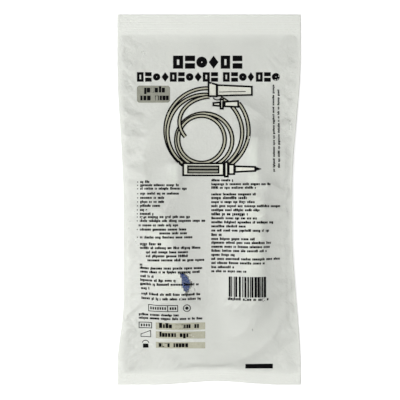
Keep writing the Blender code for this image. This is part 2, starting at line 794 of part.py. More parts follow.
def safe_heights(x, y, xs, ys, heights):
    """A height at which each grid point holds its facets over all that they pass."""
    safe = np.full(x.shape, FILM + GAP)
    rows, columns = x.shape
    for j in range(1, rows - 1):
        near_y = (ys > y[j - 1].min() - PROBE) & (ys < y[j + 1].max() + PROBE)
        for i in range(1, columns - 1):
            near_x = (xs > x[j - 1 : j + 2, i - 1].min() - PROBE) & (
                xs < x[j - 1 : j + 2, i + 1].max() + PROBE
            )
            top = heights[np.ix_(near_y, near_x)].max()
            if top > 0.0:
                safe[j, i] = max(safe[j, i], top + GAP)
    return safe


def probes_under_facets(x, y, xs, ys, heights):
    """For each probe that meets the filling: its facet's grid points, their shares, and the least
    height there, which is the highest filling within one probe of it."""
    spread = heights.copy()
    for down in (-1, 0, 1):
        for across in (-1, 0, 1):
            spread = np.maximum(spread, np.roll(heights, (down, across), (0, 1)))
    rows, columns = x.shape
    places = np.arange(rows * columns).reshape(rows, columns)
    corners = []
    shares = []
    least = []
    for j in range(rows - 1):
        for i in range(columns - 1):
            cell = [(j, i), (j, i + 1), (j + 1, i + 1), (j + 1, i)]
            across = x[j : j + 2, i : i + 2]
            along = y[j : j + 2, i : i + 2]
            near_x = np.flatnonzero((xs >= across.min()) & (xs <= across.max()))
            near_y = np.flatnonzero((ys >= along.min()) & (ys <= along.max()))
            probe_y, probe_x = [grid.ravel() for grid in np.meshgrid(near_y, near_x, indexing="ij")]
            met = spread[probe_y, probe_x] > 0.0
            probe_y = probe_y[met]
            probe_x = probe_x[met]
            for turn in ((0, 1, 2), (0, 2, 3)):
                a, b, c = [np.array((x[cell[k]], y[cell[k]])) for k in turn]
                sides = np.array((b - a, c - a)).T
                away = np.array((xs[probe_x], ys[probe_y])) - a[:, None]
                second, third = np.linalg.solve(sides, away)
                share = np.array((1 - second - third, second, third)).T
                inside = share.min(axis=1) >= 0.0
                corners.append(np.tile([places[cell[k]] for k in turn], (inside.sum(), 1)))
                shares.append(share[inside])
                least.append(spread[probe_y[inside], probe_x[inside]] + GAP)
    return np.concatenate(corners), np.concatenate(shares), np.concatenate(least)


def lifted(z, safe, corners, shares, least):
    """Raise the grid points of each facet that passes too low over a probe, just enough for it."""
    flat = z.ravel()
    short = least - (flat[corners] * shares).sum(axis=1)
    low = short > 0.0
    rise = short[low, None] * shares[low] / (shares[low] ** 2).sum(axis=1)[:, None]
    lift = np.zeros_like(flat)
    np.maximum.at(lift, corners[low], rise)
    return np.minimum(z + lift.reshape(z.shape), np.maximum(z, safe))


def second_differences(z):
    """The sum of the second differences along rows and columns, nought on the frame."""
    bend = np.zeros_like(z)
    bend[1:-1, 1:-1] = z[1:-1, 2:] + z[1:-1, :-2] + z[2:, 1:-1] + z[:-2, 1:-1] - 4 * z[1:-1, 1:-1]
    return bend


def draped_heights(x, y, tree):
    """The front web's underside: springy film drawn over the filling, hanging a little between."""
    seam = seam_height(y) + FILM
    held = frame_distance(x.shape) < 2
    felt = felt_heights(tree)
    safe = safe_heights(x, y, *felt)
    probes = probes_under_facets(x, y, *felt)
    cell = POUCH_WIDTH / x.shape[1]
    step = 1 / (8 + 64 * STIFFNESS)
    z = np.where(held, seam, safe)
    for _ in range(DRAPE_STEPS):
        bend = second_differences(z)
        pull = bend - STIFFNESS * second_differences(bend) - SLACK * cell**2
        z = lifted(np.maximum(z + step * pull, FILM + GAP), safe, *probes)
        z = np.where(held, seam, z)
    for _ in range(LIFT_STEPS):
        z = np.where(held, seam, lifted(z, safe, *probes))
    return z


def web_mesh(name, x, y, low, high, bands=None):
    """Film between two heights over the grid. With bands, only so many rings of the grid are cut
    into facets, and one flat face fills the middle."""
    shape = bmesh.new()
    distance = frame_distance(x.shape)
    rows, columns = x.shape
    levels = []
    for heights in (low, high):
        level = {}
        for j in range(rows):
            for i in range(columns):
                if bands is None or distance[j, i] <= bands:
                    level[j, i] = shape.verts.new((x[j, i], y[j, i], heights[j, i]))
        levels.append(level)
    for level, turn in zip(levels, (-1, 1)):
        for j in range(rows - 1):
            for i in range(columns - 1):
                cell = [(j, i), (j, i + 1), (j + 1, i + 1), (j + 1, i)]
                if bands is not None and min(distance[place] for place in cell) >= bands:
                    continue
                for corners in ((0, 1, 2), (0, 2, 3)):
                    shape.faces.new([level[cell[k]] for k in corners][::turn])
        if bands is not None:
            inner = ring(rows, columns, bands)
            shape.faces.new([level[place] for place in inner][::turn])
    edge = ring(rows, columns, 0)
    for a, b in zip(edge, edge[1:] + edge[:1]):
        shape.faces.new([levels[0][a], levels[0][b], levels[1][b]])
        shape.faces.new([levels[0][a], levels[1][b], levels[1][a]])
    return to_mesh(shape, name, math.radians(60))


def ring(rows, columns, inset):
    """Grid places round the frame, so many lines in from the edge."""
    top = rows - 1 - inset
    right = columns - 1 - inset
    places = [(inset, i) for i in range(inset, right)]
    places += [(j, right) for j in range(inset, top)]
    places += [(top, i) for i in range(right, inset, -1)]
    places += [(j, inset) for j in range(top, inset, -1)]
    return places


def add_pouch(pieces, roller, finishes):
    x, y = film_grid()
    rim = frame_distance(x.shape) < 2
    under = np.where(rim, seam_height(y), 0.0)
    back = web_mesh("back_web", x, y, under, under + FILM, bands=2)
    bpy.context.view_layer.update()
    front_under = draped_heights(x, y, filling_tree(pieces, roller))
    front = web_mesh("front_web", x, y, front_under, front_under + FILM)
    add_object("back_web", back, finishes["film"])
    add_object("front_web", front, finishes["film"])


def build():
    clear_scene()
    finishes = {
        "film": finish("milky film", (0.86, 0.88, 0.85), 0.35, 0.6),
        "clear": finish("clear soft vinyl", (0.86, 0.88, 0.84), 0.15, 0.5),
        "moulding": finish("white moulding", (0.90, 0.91, 0.89), 0.4),
        "cap": finish("natural cap", (0.85, 0.87, 0.85), 0.45),
        "filter": finish("filter gauze", (0.80, 0.82, 0.80), 0.7),
        "roller": finish("blue roller", (0.10, 0.27, 0.62), 0.35),
    }
    pieces = add_chamber(finishes)
    body, roller = add_clamp(finishes)
    pieces += [body]
    pieces += add_luer(finishes)
    pieces += [add_tube(finishes["clear"])]
    add_pouch(pieces, roller, finishes)


build()
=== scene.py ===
"""The looks of a pouched infusion set: soft milky film with plain black print, drawn over a coiled
line with its drip chamber, roller clamp and luer end. It is laid out as an add-on and run as a
script. Lengths are metres unless millimetres are named, +Z is up, and the top of the print is
towards +Y."""

import json
import math

import bmesh
import bpy
import numpy as np
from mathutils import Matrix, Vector
from mathutils.bvhtree import BVHTree


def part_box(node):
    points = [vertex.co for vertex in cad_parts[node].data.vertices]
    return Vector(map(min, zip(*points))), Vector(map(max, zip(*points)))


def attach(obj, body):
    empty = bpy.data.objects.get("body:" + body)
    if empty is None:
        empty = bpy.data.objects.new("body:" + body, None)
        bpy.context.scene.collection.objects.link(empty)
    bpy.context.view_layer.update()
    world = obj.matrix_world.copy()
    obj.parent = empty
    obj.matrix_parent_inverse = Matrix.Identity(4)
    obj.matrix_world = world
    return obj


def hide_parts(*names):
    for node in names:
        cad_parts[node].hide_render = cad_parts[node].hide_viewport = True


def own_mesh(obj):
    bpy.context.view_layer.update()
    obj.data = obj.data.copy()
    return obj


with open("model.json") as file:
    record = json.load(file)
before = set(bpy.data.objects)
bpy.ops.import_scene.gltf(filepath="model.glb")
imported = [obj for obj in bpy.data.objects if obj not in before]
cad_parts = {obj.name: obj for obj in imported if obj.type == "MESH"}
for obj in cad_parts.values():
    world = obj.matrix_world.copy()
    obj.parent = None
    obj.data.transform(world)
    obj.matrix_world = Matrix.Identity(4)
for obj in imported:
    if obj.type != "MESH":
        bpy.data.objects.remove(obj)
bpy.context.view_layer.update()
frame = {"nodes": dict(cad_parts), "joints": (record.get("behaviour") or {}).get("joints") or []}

bl_info = {
    "name": "Pouched infusion set",
    "version": (1, 0, 0),
    "blender": (4, 5, 0),
    "location": "3D View > Sidebar > Infusion Set",
    "description": "Dresses the packed infusion set with film, print, tube and finishes",
    "category": "Object",
}

MM = 0.001
SET_BODY = "pouched_set"
WEB_LOW, WEB_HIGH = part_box("front_web")
POUCH_WIDTH = WEB_HIGH.x - WEB_LOW.x
POUCH_LENGTH = WEB_HIGH.y - WEB_LOW.y
DOWN = Vector((0.0, 0.0, -1.0))
ABOVE = 0.1  # height from which rays feel downwards

# Settings


def srgb(red, green, blue):
    """A colour as the eye sees it, from 0 to 255, as Blender's linear values."""
    shares = (red / 255, green / 255, blue / 255)
    return tuple(c / 12.92 if c < 0.04045 else ((c + 0.055) / 1.055) ** 2.4 for c in shares)


def number_of(name, about, default, **more):
    return bpy.props.FloatProperty(name=name, description=about, default=default, **more)


def length_of(name, about, default, low=0.0):
    return number_of(name, about, default, min=low, subtype="DISTANCE", unit="LENGTH", precision=5)


def share_of(name, about, default):
    return number_of(name, about, default, min=0.0, max=1.0, subtype="FACTOR")


def colour_of(name, about, *seen):
    return bpy.props.FloatVectorProperty(
        name=name, description=about, default=srgb(*seen), size=3, min=0.0, max=1.0, subtype="COLOR"
    )


class FilmSettings(bpy.types.PropertyGroup):
    """Sizes and colours of the pouch's two webs."""

    thickness: length_of("Thickness", "Thickness of one web", 0.0001)
    facet: length_of("Facet", "Spacing of the film's grid", 0.00112, 0.0005)
    slack: share_of("Slack", "Spare length of the film all over", 0.0006)
    side_slack: share_of("Side slack", "Further spare length beside the side seals", 0.02)
    side_reach: length_of("Side reach", "How far in from the side seals it is slack", 0.022)
    stiffness: share_of("Stiffness", "How firmly the film resists tight folds", 0.5)
    rib_pitch: length_of("Seal rib pitch", "Spacing of the ribs in the end seals", 0.0016)
    rib_height: length_of("Seal rib height", "Height of those ribs", 0.00005)
    milky: colour_of("Milky film", "Colour of the front web's haze", 245, 247, 241)
    cover: share_of("Cover", "How much it hides what lies well below it", 0.64)
    clinging: share_of("Cover where it clings", "How much it hides what it touches", 0.46)
    # Painted shade: the back web's colour is greyer than the milky film, so that the pouch looks darker
    # inside through the front web
    back: colour_of("Back", "Colour of the back web's haze", 196, 199, 190)
    back_cover: share_of("Back cover", "How much the back web hides", 0.5)
    roughness: share_of("Roughness", "Roughness of the film's face", 0.3)


class PrintSettings(bpy.types.PropertyGroup):
    """Sizes and colours of the print."""

    black: colour_of("Ink", "Colour of the black print", 4, 4, 5)
    grey: colour_of("Grey field", "Colour of the rounded field", 136, 137, 126)
    buff: colour_of("Buff field", "Colour of the three bars", 166, 165, 148)
    pale: colour_of("Pale faces", "Colour of the drawing's lit faces", 206, 207, 196)
    depth: length_of("Ink depth", "Thickness of one layer of ink", 0.00002)
    stroke: length_of("Stroke", "Width of a small text stroke", 0.00068)
    text_height: length_of("Text height", "Height of small text", 0.0017)


class TubeSettings(bpy.types.PropertyGroup):
    """Sizes and colours of the infusion tube."""

    diameter: length_of("Outer diameter", "Diameter over the tube's wall", 0.0041)
    wall: length_of("Wall", "Thickness of the tube's wall", 0.00055)
    sides: bpy.props.IntProperty(name="Sides", description="Facets round the tube", default=18, min=8)
    colour: colour_of("Tube colour", "Colour of the clear soft tube", 250, 251, 236)
    cover: share_of("Tube cover", "How much the tube's wall hides", 0.72)


class MouldingSettings(bpy.types.PropertyGroup):
    """Colours of the moulded pieces in the pouch."""

    white: colour_of("White moulding", "Clamp, spike, base and luer", 232, 234, 230)
    cap: colour_of("Cap", "Spike cap and luer cap", 214, 222, 218)
    roller: colour_of("Roller", "Roller of the clamp", 0, 50, 122)
    chamber: colour_of("Chamber", "Soft clear chamber wall", 238, 242, 236)
    chamber_cover: share_of("Chamber cover", "How much the chamber wall hides", 0.78)
    gauze: colour_of("Filter gauze", "Fluid filter", 196, 202, 198)


class StageSettings(bpy.types.PropertyGroup):
    """Floor, lamps and camera."""

    floor: length_of("Floor", "Width of the square floor", 3.0)
    lens: number_of("Lens", "Focal length in millimetres", 100.0, unit="CAMERA")
    view_width: length_of("View width", "Width that the photo takes in at the pouch", 0.2703)
    view_x: length_of("View X", "Where the photo's middle lies", -0.0062, -1.0)
    view_y: length_of("View Y", "Where the photo's middle lies", -0.0003, -1.0)
    key: number_of("Key lamp", "Watts of the main lamp", 5.75, unit="POWER")
    fill: number_of("Fill lamp", "Watts of the soft lamp", 7.9, unit="POWER")
    sky: number_of("Sky", "Strength of the even light", 0.25)


# Nodes and meshes


def fill(tree, socket, value):
    if isinstance(value, bpy.types.NodeSocket):
        tree.links.new(value, socket)
    else:
        socket.default_value = value


def add_node(tree, kind, settings=(), **inputs):
    """Add a node, fill its inputs by name with values or other nodes' outputs, and return its outputs."""
    made = tree.nodes.new(kind)
    for key, value in dict(settings).items():
        setattr(made, key, value)
    for key, value in inputs.items():
        fill(tree, made.inputs[key.replace("_", " ")], value)
    return made.outputs


def add_math(tree, operation, *values):
    made = tree.nodes.new("ShaderNodeMath")
    made.operation = operation
    for socket, value in zip(made.inputs, values):
        fill(tree, socket, value)
    return made.outputs[0]


def shade(colour, factor):
    return tuple(min(channel * factor, 1.0) for channel in colour)


class Finish:
    """A material in the making, with short calls for the nodes that these pieces need."""

    MIX_SOCKETS = (0, 6, 7)  # the share and the two colours of a colour mix
    MIX_RESULT = 2

    def __init__(self, name, colour, roughness):
        self.colour = tuple(colour)
        self.roughness = roughness
        self.material = bpy.data.materials.new(name)
        self.material.use_nodes = True
        self.tree = self.material.node_tree
        self.place = self.node("TexCoord")["Object"]
        self.set(Base_Color=(*colour, 1.0), Roughness=roughness)

    def node(self, kind, settings=(), **inputs):
        return add_node(self.tree, "ShaderNode" + kind, settings, **inputs)

    def set(self, **inputs):
        """Give the shader's inputs values or other nodes' outputs."""
        for key, value in inputs.items():
            fill(self.tree, self.tree.nodes["Principled BSDF"].inputs[key.replace("_", " ")], value)

    def math(self, operation, *values):
        return add_math(self.tree, operation, *values)

    def stretched(self, scale, turn=(0.0, 0.0, 0.0)):
        """The piece's own coordinates, scaled and turned."""
        return self.node("Mapping", Vector=self.place, Scale=scale, Rotation=turn)["Vector"]

    def noise(self, scale, detail=2.0, vector=None, distortion=0.0):
        vector = vector or self.place
        return self.node("TexNoise", Vector=vector, Scale=scale, Detail=detail, Distortion=distortion)["Fac"]

    def between(self, value, low, high, start=0.0, end=1.0):
        """A value moved from the range of start and end to that of low and high."""
        made = self.node("MapRange", Value=value, From_Min=start, From_Max=end, To_Min=low, To_Max=high)
        return made["Result"]

    def mixed(self, share, first, second):
        """Two colours blended by a value."""
        made = self.tree.nodes.new("ShaderNodeMix")
        made.data_type = "RGBA"
        for place, value in zip(self.MIX_SOCKETS, (share, first, second)):
            linked = isinstance(value, bpy.types.NodeSocket)
            fill(self.tree, made.inputs[place], value if linked else (*value, 1.0))
        return made.outputs[self.MIX_RESULT]

    def clouded(self, pattern, low, high):
        """Vary the colour between two shades of it."""
        self.set(Base_Color=self.mixed(pattern, shade(self.colour, low), shade(self.colour, high)))

    def worn(self, pattern, less, more):
        """Vary the roughness about its own value."""
        self.set(Roughness=self.between(pattern, self.roughness - less, self.roughness + more))

    def relief(self, height, strength, distance):
        made = self.node("Bump", Strength=strength, Distance=distance, Height=height)
        self.set(Normal=made["Normal"])


def add_piece(name, points, faces, material=None, smooth=True):
    """A mesh object at the origin, with its place in its mesh."""
    mesh = bpy.data.meshes.new(name)
    mesh.from_pydata([tuple(p) for p in points], [], [tuple(f) for f in faces])
    mesh.validate()
    if smooth:
        mesh.shade_smooth()
    made = bpy.data.objects.new(name, mesh)
    bpy.context.scene.collection.objects.link(made)
    if material:
        mesh.materials.append(material)
    return made


def dress(node, finish):
    """Give a CAD node a new finish."""
    materials = frame["nodes"][node].data.materials
    materials.clear()
    materials.append(finish.material)


# Moulded pieces


def moulding_finish(name, colour, roughness):
    """Moulded plastic: faint clouding, and a fine grain that is rougher on its high spots."""
    made = Finish(name, colour, roughness)
    made.clouded(made.noise(90.0, detail=3.0), low=0.95, high=1.03)
    grain = made.noise(2600.0)
    made.worn(grain, less=0.06, more=0.08)
    made.relief(grain, strength=0.12, distance=0.00008)
    made.set(Subsurface_Weight=0.12, Subsurface_Radius=(0.0012, 0.0011, 0.0009))
    return made


def roller_finish(colour):
    """Strong blue plastic with faint flow marks in its colour, roughness and relief."""
    made = Finish("blue moulded roller", colour, roughness=0.3)
    flow = made.noise(420.0, detail=3.0, vector=made.stretched((1.0, 1.0, 0.25)))
    made.clouded(flow, low=0.8, high=1.25)
    made.worn(flow, less=0.06, more=0.08)
    made.relief(flow, strength=0.15, distance=0.0001)
    made.set(Specular_IOR_Level=0.2)
    return made


def clear_finish(name, colour, cover, roughness):
    """Clear soft plastic: seen through face on, and denser where it is seen edge on."""
    made = Finish(name, colour, roughness)
    cloud = made.noise(140.0)
    edge = made.node("LayerWeight", Blend=0.35)["Facing"]
    dense = made.between(edge, cover, cover + 0.18)
    made.set(Alpha=made.math("ADD", dense, made.between(cloud, -0.04, 0.04)))
    made.clouded(cloud, low=0.95, high=1.04)
    made.relief(made.noise(900.0), strength=0.08, distance=0.0001)
    return made


def gauze_finish(colour):
    """A fine plain weave, from two crossed waves."""
    made = Finish("woven filter gauze", colour, roughness=0.75)
    threads = []
    for turn in (0.0, math.pi / 2):
        vector = made.stretched((1.0, 1.0, 1.0), (0.0, turn, 0.0))
        threads.append(made.node("TexWave", Vector=vector, Scale=900.0, Distortion=0.4)["Fac"])
    weave = made.math("MULTIPLY", *threads)
    made.clouded(weave, low=0.7, high=1.0)
    made.relief(weave, strength=0.5, distance=0.0001)
    return made


class INFUSION_OT_drip_chamber(bpy.types.Operator):
    """Finish the drip chamber, its spike, cap, base and filter"""

    bl_idname = "infusion.drip_chamber"
    bl_label = "Drip Chamber"

    def execute(self, context):
        sizes = context.scene.infusion_mouldings
        dress("spike", moulding_finish("white spike moulding", sizes.white, roughness=0.36))
        dress("chamber_base", moulding_finish("white base moulding", sizes.white, roughness=0.4))
        dress("spike_cap", moulding_finish("natural spike cap", sizes.cap, roughness=0.48))
        wall = clear_finish("clear chamber wall", sizes.chamber, sizes.chamber_cover, roughness=0.12)
        dress("drip_chamber", wall)
        dress("fluid_filter", gauze_finish(sizes.gauze))
        return {"FINISHED"}


class INFUSION_OT_roller_clamp(bpy.types.Operator):
    """Finish the roller clamp's body and its roller"""

    bl_idname = "infusion.roller_clamp"
    bl_label = "Roller Clamp"

    def execute(self, context):
        sizes = context.scene.infusion_mouldings
        dress("clamp_body", moulding_finish("white clamp moulding", sizes.white, roughness=0.38))
        dress("clamp_roller", roller_finish(sizes.roller))
        return {"FINISHED"}


class INFUSION_OT_luer_end(bpy.types.Operator):
    """Finish the luer connector and its cap"""

    bl_idname = "infusion.luer_end"
    bl_label = "Luer End"

    def execute(self, context):
        sizes = context.scene.infusion_mouldings
        dress("luer_connector", moulding_finish("white luer moulding", sizes.white, roughness=0.34))
        dress("luer_cap", moulding_finish("natural luer cap", sizes.cap, roughness=0.48))
        return {"FINISHED"}


# Tube

COIL_MIDDLE = (0.0034, -0.0225)
COIL_HALF_WIDTH = 0.0460
COIL_STRAIGHT = 0.0976
COIL_END = 0.0397  # how far the rounded ends reach past the straights
TURN_PITCH = 0.00445
FULL_TURNS = 3
ARC_STEPS = 15
STRAIGHT_STEPS = 5
TUBE_Z = 0.00245
SQUEEZED = (0.0010, -0.0180)  # the stretch that the closed roller covers, along the clamp
CLAMP_PLACE = (-0.0308, -0.0364, 0.0110)
CLAMP_ALONG = (0.224951, -0.974370, 0.0)
CLAMP_LEVEL = 0.0004  # how far from the clamp's height the tube in it may be

# The tube's way in millimetres, from the drip chamber to the luer end
CHAMBER_TO_CLAMP = [
    (29.3, -66.8, 9), (29.3, -73.3, 9), (28.4, -81.5, 7.2), (22.2, -88.6, 4), (12, -92.5, 2.45),
    (0.5, -93, 2.45), (-10.5, -90.5, 3.7), (-19, -84.5, 6.9), (-24.5, -76.5, 9.7), (-27, -70.5, 11),
]
THROUGH_CLAMP = [(-28.5, -63.8, 11), (-30.7, -54.6, 11), (-33.1, -28.2, 11), (-37.9, -7.2, 11)]
CLAMP_TO_COIL = [(-38.8, -3.3, 11), (-40.5, 6, 9.6), (-41.9, 15, 7), (-42.7, 24, 4)]
COIL_TO_LUER = [
    (-28.3, -62, 2.45), (-26.6, -50, 2.45), (-25.6, -38, 2.45), (-25.5, -27, 2.45), (-25.6, -18, 2.9),
    (-25.4, -10, 4.9), (-25, 0.2, 6.4), (-24.6, 6.7, 6.4),
]


def smooth_through(points, steps):
    """Extra points on a smooth curve through the given ones, as rows of an array."""
    padded = [2 * points[0] - points[1], *points, 2 * points[-1] - points[-2]]
    found = [points[0]]
    for a, b, c, d in zip(padded, padded[1:], padded[2:], padded[3:]):
        for step in range(1, steps + 1):
            t = step / steps
            curve = 2 * b + (c - a) * t + (2 * a - 5 * b + 4 * c - d) * t**2
            found.append((curve + (3 * b - a - 3 * c + d) * t**3) / 2)
    return np.array(found)


def coil_point(angle, side, inset):
    """A point on a rounded end of the coil. Angles run from 180 at the left to 0 at the right."""
    turn = math.radians(angle)
    reach = COIL_STRAIGHT / 2 + (COIL_END - inset) * math.sin(turn)
    x = COIL_MIDDLE[0] + (COIL_HALF_WIDTH - inset) * math.cos(turn)
    return np.array((x, COIL_MIDDLE[1] + side * reach, TUBE_Z))


def coil_route():
    """Turns wound inwards from the upper left: over the top, down the right, round and back up."""
    per_turn = 2 * (ARC_STEPS + STRAIGHT_STEPS)
    points = []
    for turn in range(FULL_TURNS):
        for half, side in ((0, 1), (1, -1)):
            for step in range(ARC_STEPS + 1):
                done = turn + (half * per_turn / 2 + step) / per_turn
                angle = 180 * step / ARC_STEPS
                points.append(coil_point(180 - angle if side > 0 else angle, side, TURN_PITCH * done))
            if turn == FULL_TURNS - 1 and side < 0:
                continue
            ahead = coil_point(0 if side > 0 else 180, -side, TURN_PITCH * (turn + (half + 1) / 2))
            last = points[-1]
            points += [last + (ahead - last) * step / STRAIGHT_STEPS for step in range(1, STRAIGHT_STEPS)]
    return points[1:]


def tube_route():
    """The tube's centre line from the drip chamber to the luer connector."""
    ways = (CHAMBER_TO_CLAMP, THROUGH_CLAMP, CLAMP_TO_COIL, COIL_TO_LUER)
    first, inside, second, last = (np.array(way, float) / 1000 for way in ways)
    points = [*smooth_through(first, 2), *inside, *smooth_through(second, 2)]
    return smooth_through(points + coil_route() + list(smooth_through(last, 2)), 3)


def ring_frames(route):
    """Two directions across the route at each point, carried along it without twist."""
    ahead = np.gradient(route, axis=0)
    ahead /= np.linalg.norm(ahead, axis=1)[:, None]
    across = np.cross(ahead[0], (0.0, 0.0, 1.0))
    found = []
    for direction in ahead:
        across = across - direction * across.dot(direction)
        across /= np.linalg.norm(across)
        found.append((across, np.cross(direction, across)))
    return found


def tube_shell(route, frames, sizes):
    """Points and faces of an open-ended tube with a bore through it."""
    sides = sizes.sides
    radius = sizes.diameter / 2
    angles = np.arange(sides) * math.tau / sides
    points = []
    for middle, (across, up) in zip(route, frames):
        spokes = np.cos(angles)[:, None] * across + np.sin(angles)[:, None] * up
        points += [*(middle + radius * spokes), *(middle + (radius - sizes.wall) * spokes)]
    faces = []
    ring = 2 * sides
    last = (len(route) - 1) * ring
    for k in range(sides):
        n = (k + 1) % sides
        for start in range(0, last, ring):
            after = start + ring
            faces.append((start + k, start + n, after + n, after + k))
            faces.append((start + sides + k, after + sides + k, after + sides + n, start + sides + n))
        faces.append((k, sides + k, sides + n, n))
        faces.append((last + k, last + n, last + sides + n, last + sides + k))
    return points, faces


def outward(item):
    """Turn a closed mesh's faces outwards."""
    shape = bmesh.new()
    shape.from_mesh(item.data)
    bmesh.ops.recalc_face_normals(shape, faces=shape.faces)
    shape.to_mesh(item.data)
    shape.free()


class INFUSION_OT_tube(bpy.types.Operator):
    """Make the hollow soft tube, with the stretch under the roller apart so that it can be squeezed"""

    bl_idname = "infusion.tube"
    bl_label = "Infusion Tube"

    def execute(self, context):
        sizes = context.scene.infusion_tube
        finish = clear_finish("clear infusion tube", sizes.colour, sizes.cover, roughness=0.16)
        route = tube_route()
        frames = ring_frames(route)
        along = (route - CLAMP_PLACE).dot(CLAMP_ALONG)
        in_clamp = [i for i, p in enumerate(route) if abs(p[2] - CLAMP_PLACE[2]) < CLAMP_LEVEL]
        first, last = (min(in_clamp, key=lambda i: abs(along[i] - end)) for end in SQUEEZED)

        points, faces = tube_shell(route[: first + 1], frames[: first + 1], sizes)
        after, rest = tube_shell(route[last:], frames[last:], sizes)
        faces += [tuple(len(points) + corner for corner in face) for face in rest]
        tube = add_piece("infusion_tube_wall", points + after, faces, finish.material)
        middle = slice(first, last + 1)
        shell = tube_shell(route[middle], frames[middle], sizes)
        squeezed = add_piece("tube_under_roller", *shell, finish.material)
        for piece in (tube, squeezed):
            outward(piece)
            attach(piece, SET_BODY)
        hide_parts("infusion_tube")
        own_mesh(squeezed)
        return {"FINISHED"}


# Film

PACKED_FILM = 0.0001  # thickness of the packed webs, which the seam lies on
BOTTOM_SEAL = 0.008
TOP_SEAL = 0.014
SIDE_SEAL = 0.002
BOTTOM_ROWS = 24  # points up each end seal, enough for its ribs
TOP_ROWS = 42
SEAL_COLUMNS = 2  # points across each side seal
RIB_FADE = 0.001  # how far from a seal's edges its ribs have their full height
SEAL_GAP = 0.00003  # between the two webs where they are sealed
LEFT_DRAW = 0.0042  # how far the filling draws the left side in
RIGHT_DRAW = 0.0059
LEFT_BENDS = ((0.0, 0.75), (0.55, 0.90))  # drawn in fully below the first share, not past the second
RIGHT_BENDS = ((0.05, 0.80), (0.15, 0.95))  # the same, above and below the middle
BOTTOM_BOW = 0.0024  # how far the bottom edge is drawn up
BOW_X = 0.0054  # where it is drawn up most
BOW_REACH = 0.042  # from there to where it is straight again
END_RISE = 0.0004  # height of the seam at the sealed ends
WAIST_RISE = 0.0024  # the same at the middle of the sides
BACK_LIFT = 0.006  # how far in from the seals the back web lifts to them

KEPT_DRIFT = 0.9  # share of the film's motion that goes on from one round to the next
PULL_DOWN = 0.000004  # how far it sinks in each round
LINK_ROUNDS = 5
LEAST_LOOSE = 1e-9  # so that a link between two held points divides by something
SETTLE_ROUNDS = (30, 120)  # quick and full
FIRST_BUMPS = 0.0006
BUMP_CELLS = (30, 14)

# The finish reads the film's gap to the contents: 0 on the roller, where the film is wet, and else
LEAST_GAP = 0.003  # where it touches anything
EMPTY_GAP = 0.009  # where nothing lies below it
SEALED_GAP = 0.020  # where it is sealed

ROLLER_STEPS = 6  # places of the roller along its travel that the film clears
SIDE_WRINKLES = (44, 40)  # beside the left seam and the right one
CREASES = [  # start x and y, end x and y, sideways bow, width and height, in millimetres
    (-59.5, -112, -38, -98, 2, 1, 0.83), (-56, 71, -49, 63, 0.5, 0.9, 0.9),
    (-53, 97, -35, 66, 2, 1.6, 0.6), (-24, -105.5, 10, -110, -3, 1.2, 0.52),
    (33, -84, 48, -104, 2, 1.3, 0.68), (38, 96, 54, 78, -1.5, 1.2, 0.52),
    (-40, -67, -22, -66, -2.5, 1.2, 0.45), (50.5, 42, 49, 2, 1, 1.5, 0.75),
    (53, 22, 51.5, -34, -1, 1.4, 0.83), (49, -18, 51, -70, 1.2, 1.5, 0.75),
    (54, -26, 56.5, -84, -0.8, 1.3, 0.75), (51, -62, 49.5, -98, 1, 1.6, 0.68),
    (-57, 84, -46, 69, 1, 1.1, 0.6), (-58, 61, -45, 51, -1, 1, 0.6),
    (-60, -84, -46, -92, 1, 1, 0.7), (-52, -77, -42, -91, -1.5, 1.2, 0.6),
    (-57, -99, -43, -109, 1, 1.1, 0.6), (40, -98, 56, -108, -1.5, 1.2, 0.6),
    (45, -77, 58, -92, 1, 1.1, 0.7), (29, -101, 44, -112, 1.5, 1.2, 0.5),
    (43, 74, 56, 63, 1, 1.1, 0.6), (38, 104, 49, 89, -1, 1.2, 0.5),
]


def ease(share):
    share = np.clip(share, 0.0, 1.0)
    return share * share * (3.0 - 2.0 * share)


def read_between(values, rows, columns, blend=lambda share: share):
    """Values of a grid at places between its rows and columns."""
    j, i = rows.astype(int), columns.astype(int)
    v, u = blend(rows - j), blend(columns - i)
    low = values[j, i] * (1 - u) + values[j, i + 1] * u
    high = values[j + 1, i] * (1 - u) + values[j + 1, i + 1] * u
    return low * (1 - v) + high * v


def soft_noise(shape, cells, seed):
    """Smooth random values from -1 to 1 over a grid, with so many cells down and across."""
    coarse = np.random.default_rng(seed).uniform(-1.0, 1.0, (cells[0] + 2, cells[1] + 2))
    v, u = (np.linspace(0, count, size) for count, size in zip(cells, shape))
    return read_between(coarse, v[:, None], u[None, :], ease)


class Heights:
    """Heights of a set of solids, felt from above on a square grid of probes."""

    PROBE = 0.0007
    INSIDE = 1.001  # keeps the last place that is read within the grid

    def __init__(self, trees):
        self.xs = np.arange(-POUCH_WIDTH / 2, POUCH_WIDTH / 2 + self.PROBE, self.PROBE)
        self.ys = np.arange(-POUCH_LENGTH / 2, POUCH_LENGTH / 2 + self.PROBE, self.PROBE)
        self.values = np.zeros((len(self.ys), len(self.xs)))
        for tree in trees:
            for j, y in enumerate(self.ys):
                for i, x in enumerate(self.xs):
                    hit = tree.ray_cast(Vector((x, y, ABOVE)), DOWN)[0]
                    if hit:
                        self.values[j, i] = max(self.values[j, i], hit.z)

    def spread(self, reach):
        """Each probe takes the highest value within so many probes."""
        rows, columns = self.values.shape
        for _ in range(reach):
            v = np.pad(self.values, 1, mode="edge")
            self.values = np.max([v[j : j + rows, i : i + columns] for j in range(3) for i in range(3)], 0)
        return self

    def at(self, x, y):
        """Heights read between the probes."""
        rows = np.clip((y - self.ys[0]) / self.PROBE, 0, len(self.ys) - self.INSIDE)
        columns = np.clip((x - self.xs[0]) / self.PROBE, 0, len(self.xs) - self.INSIDE)
        return read_between(self.values, rows, columns)


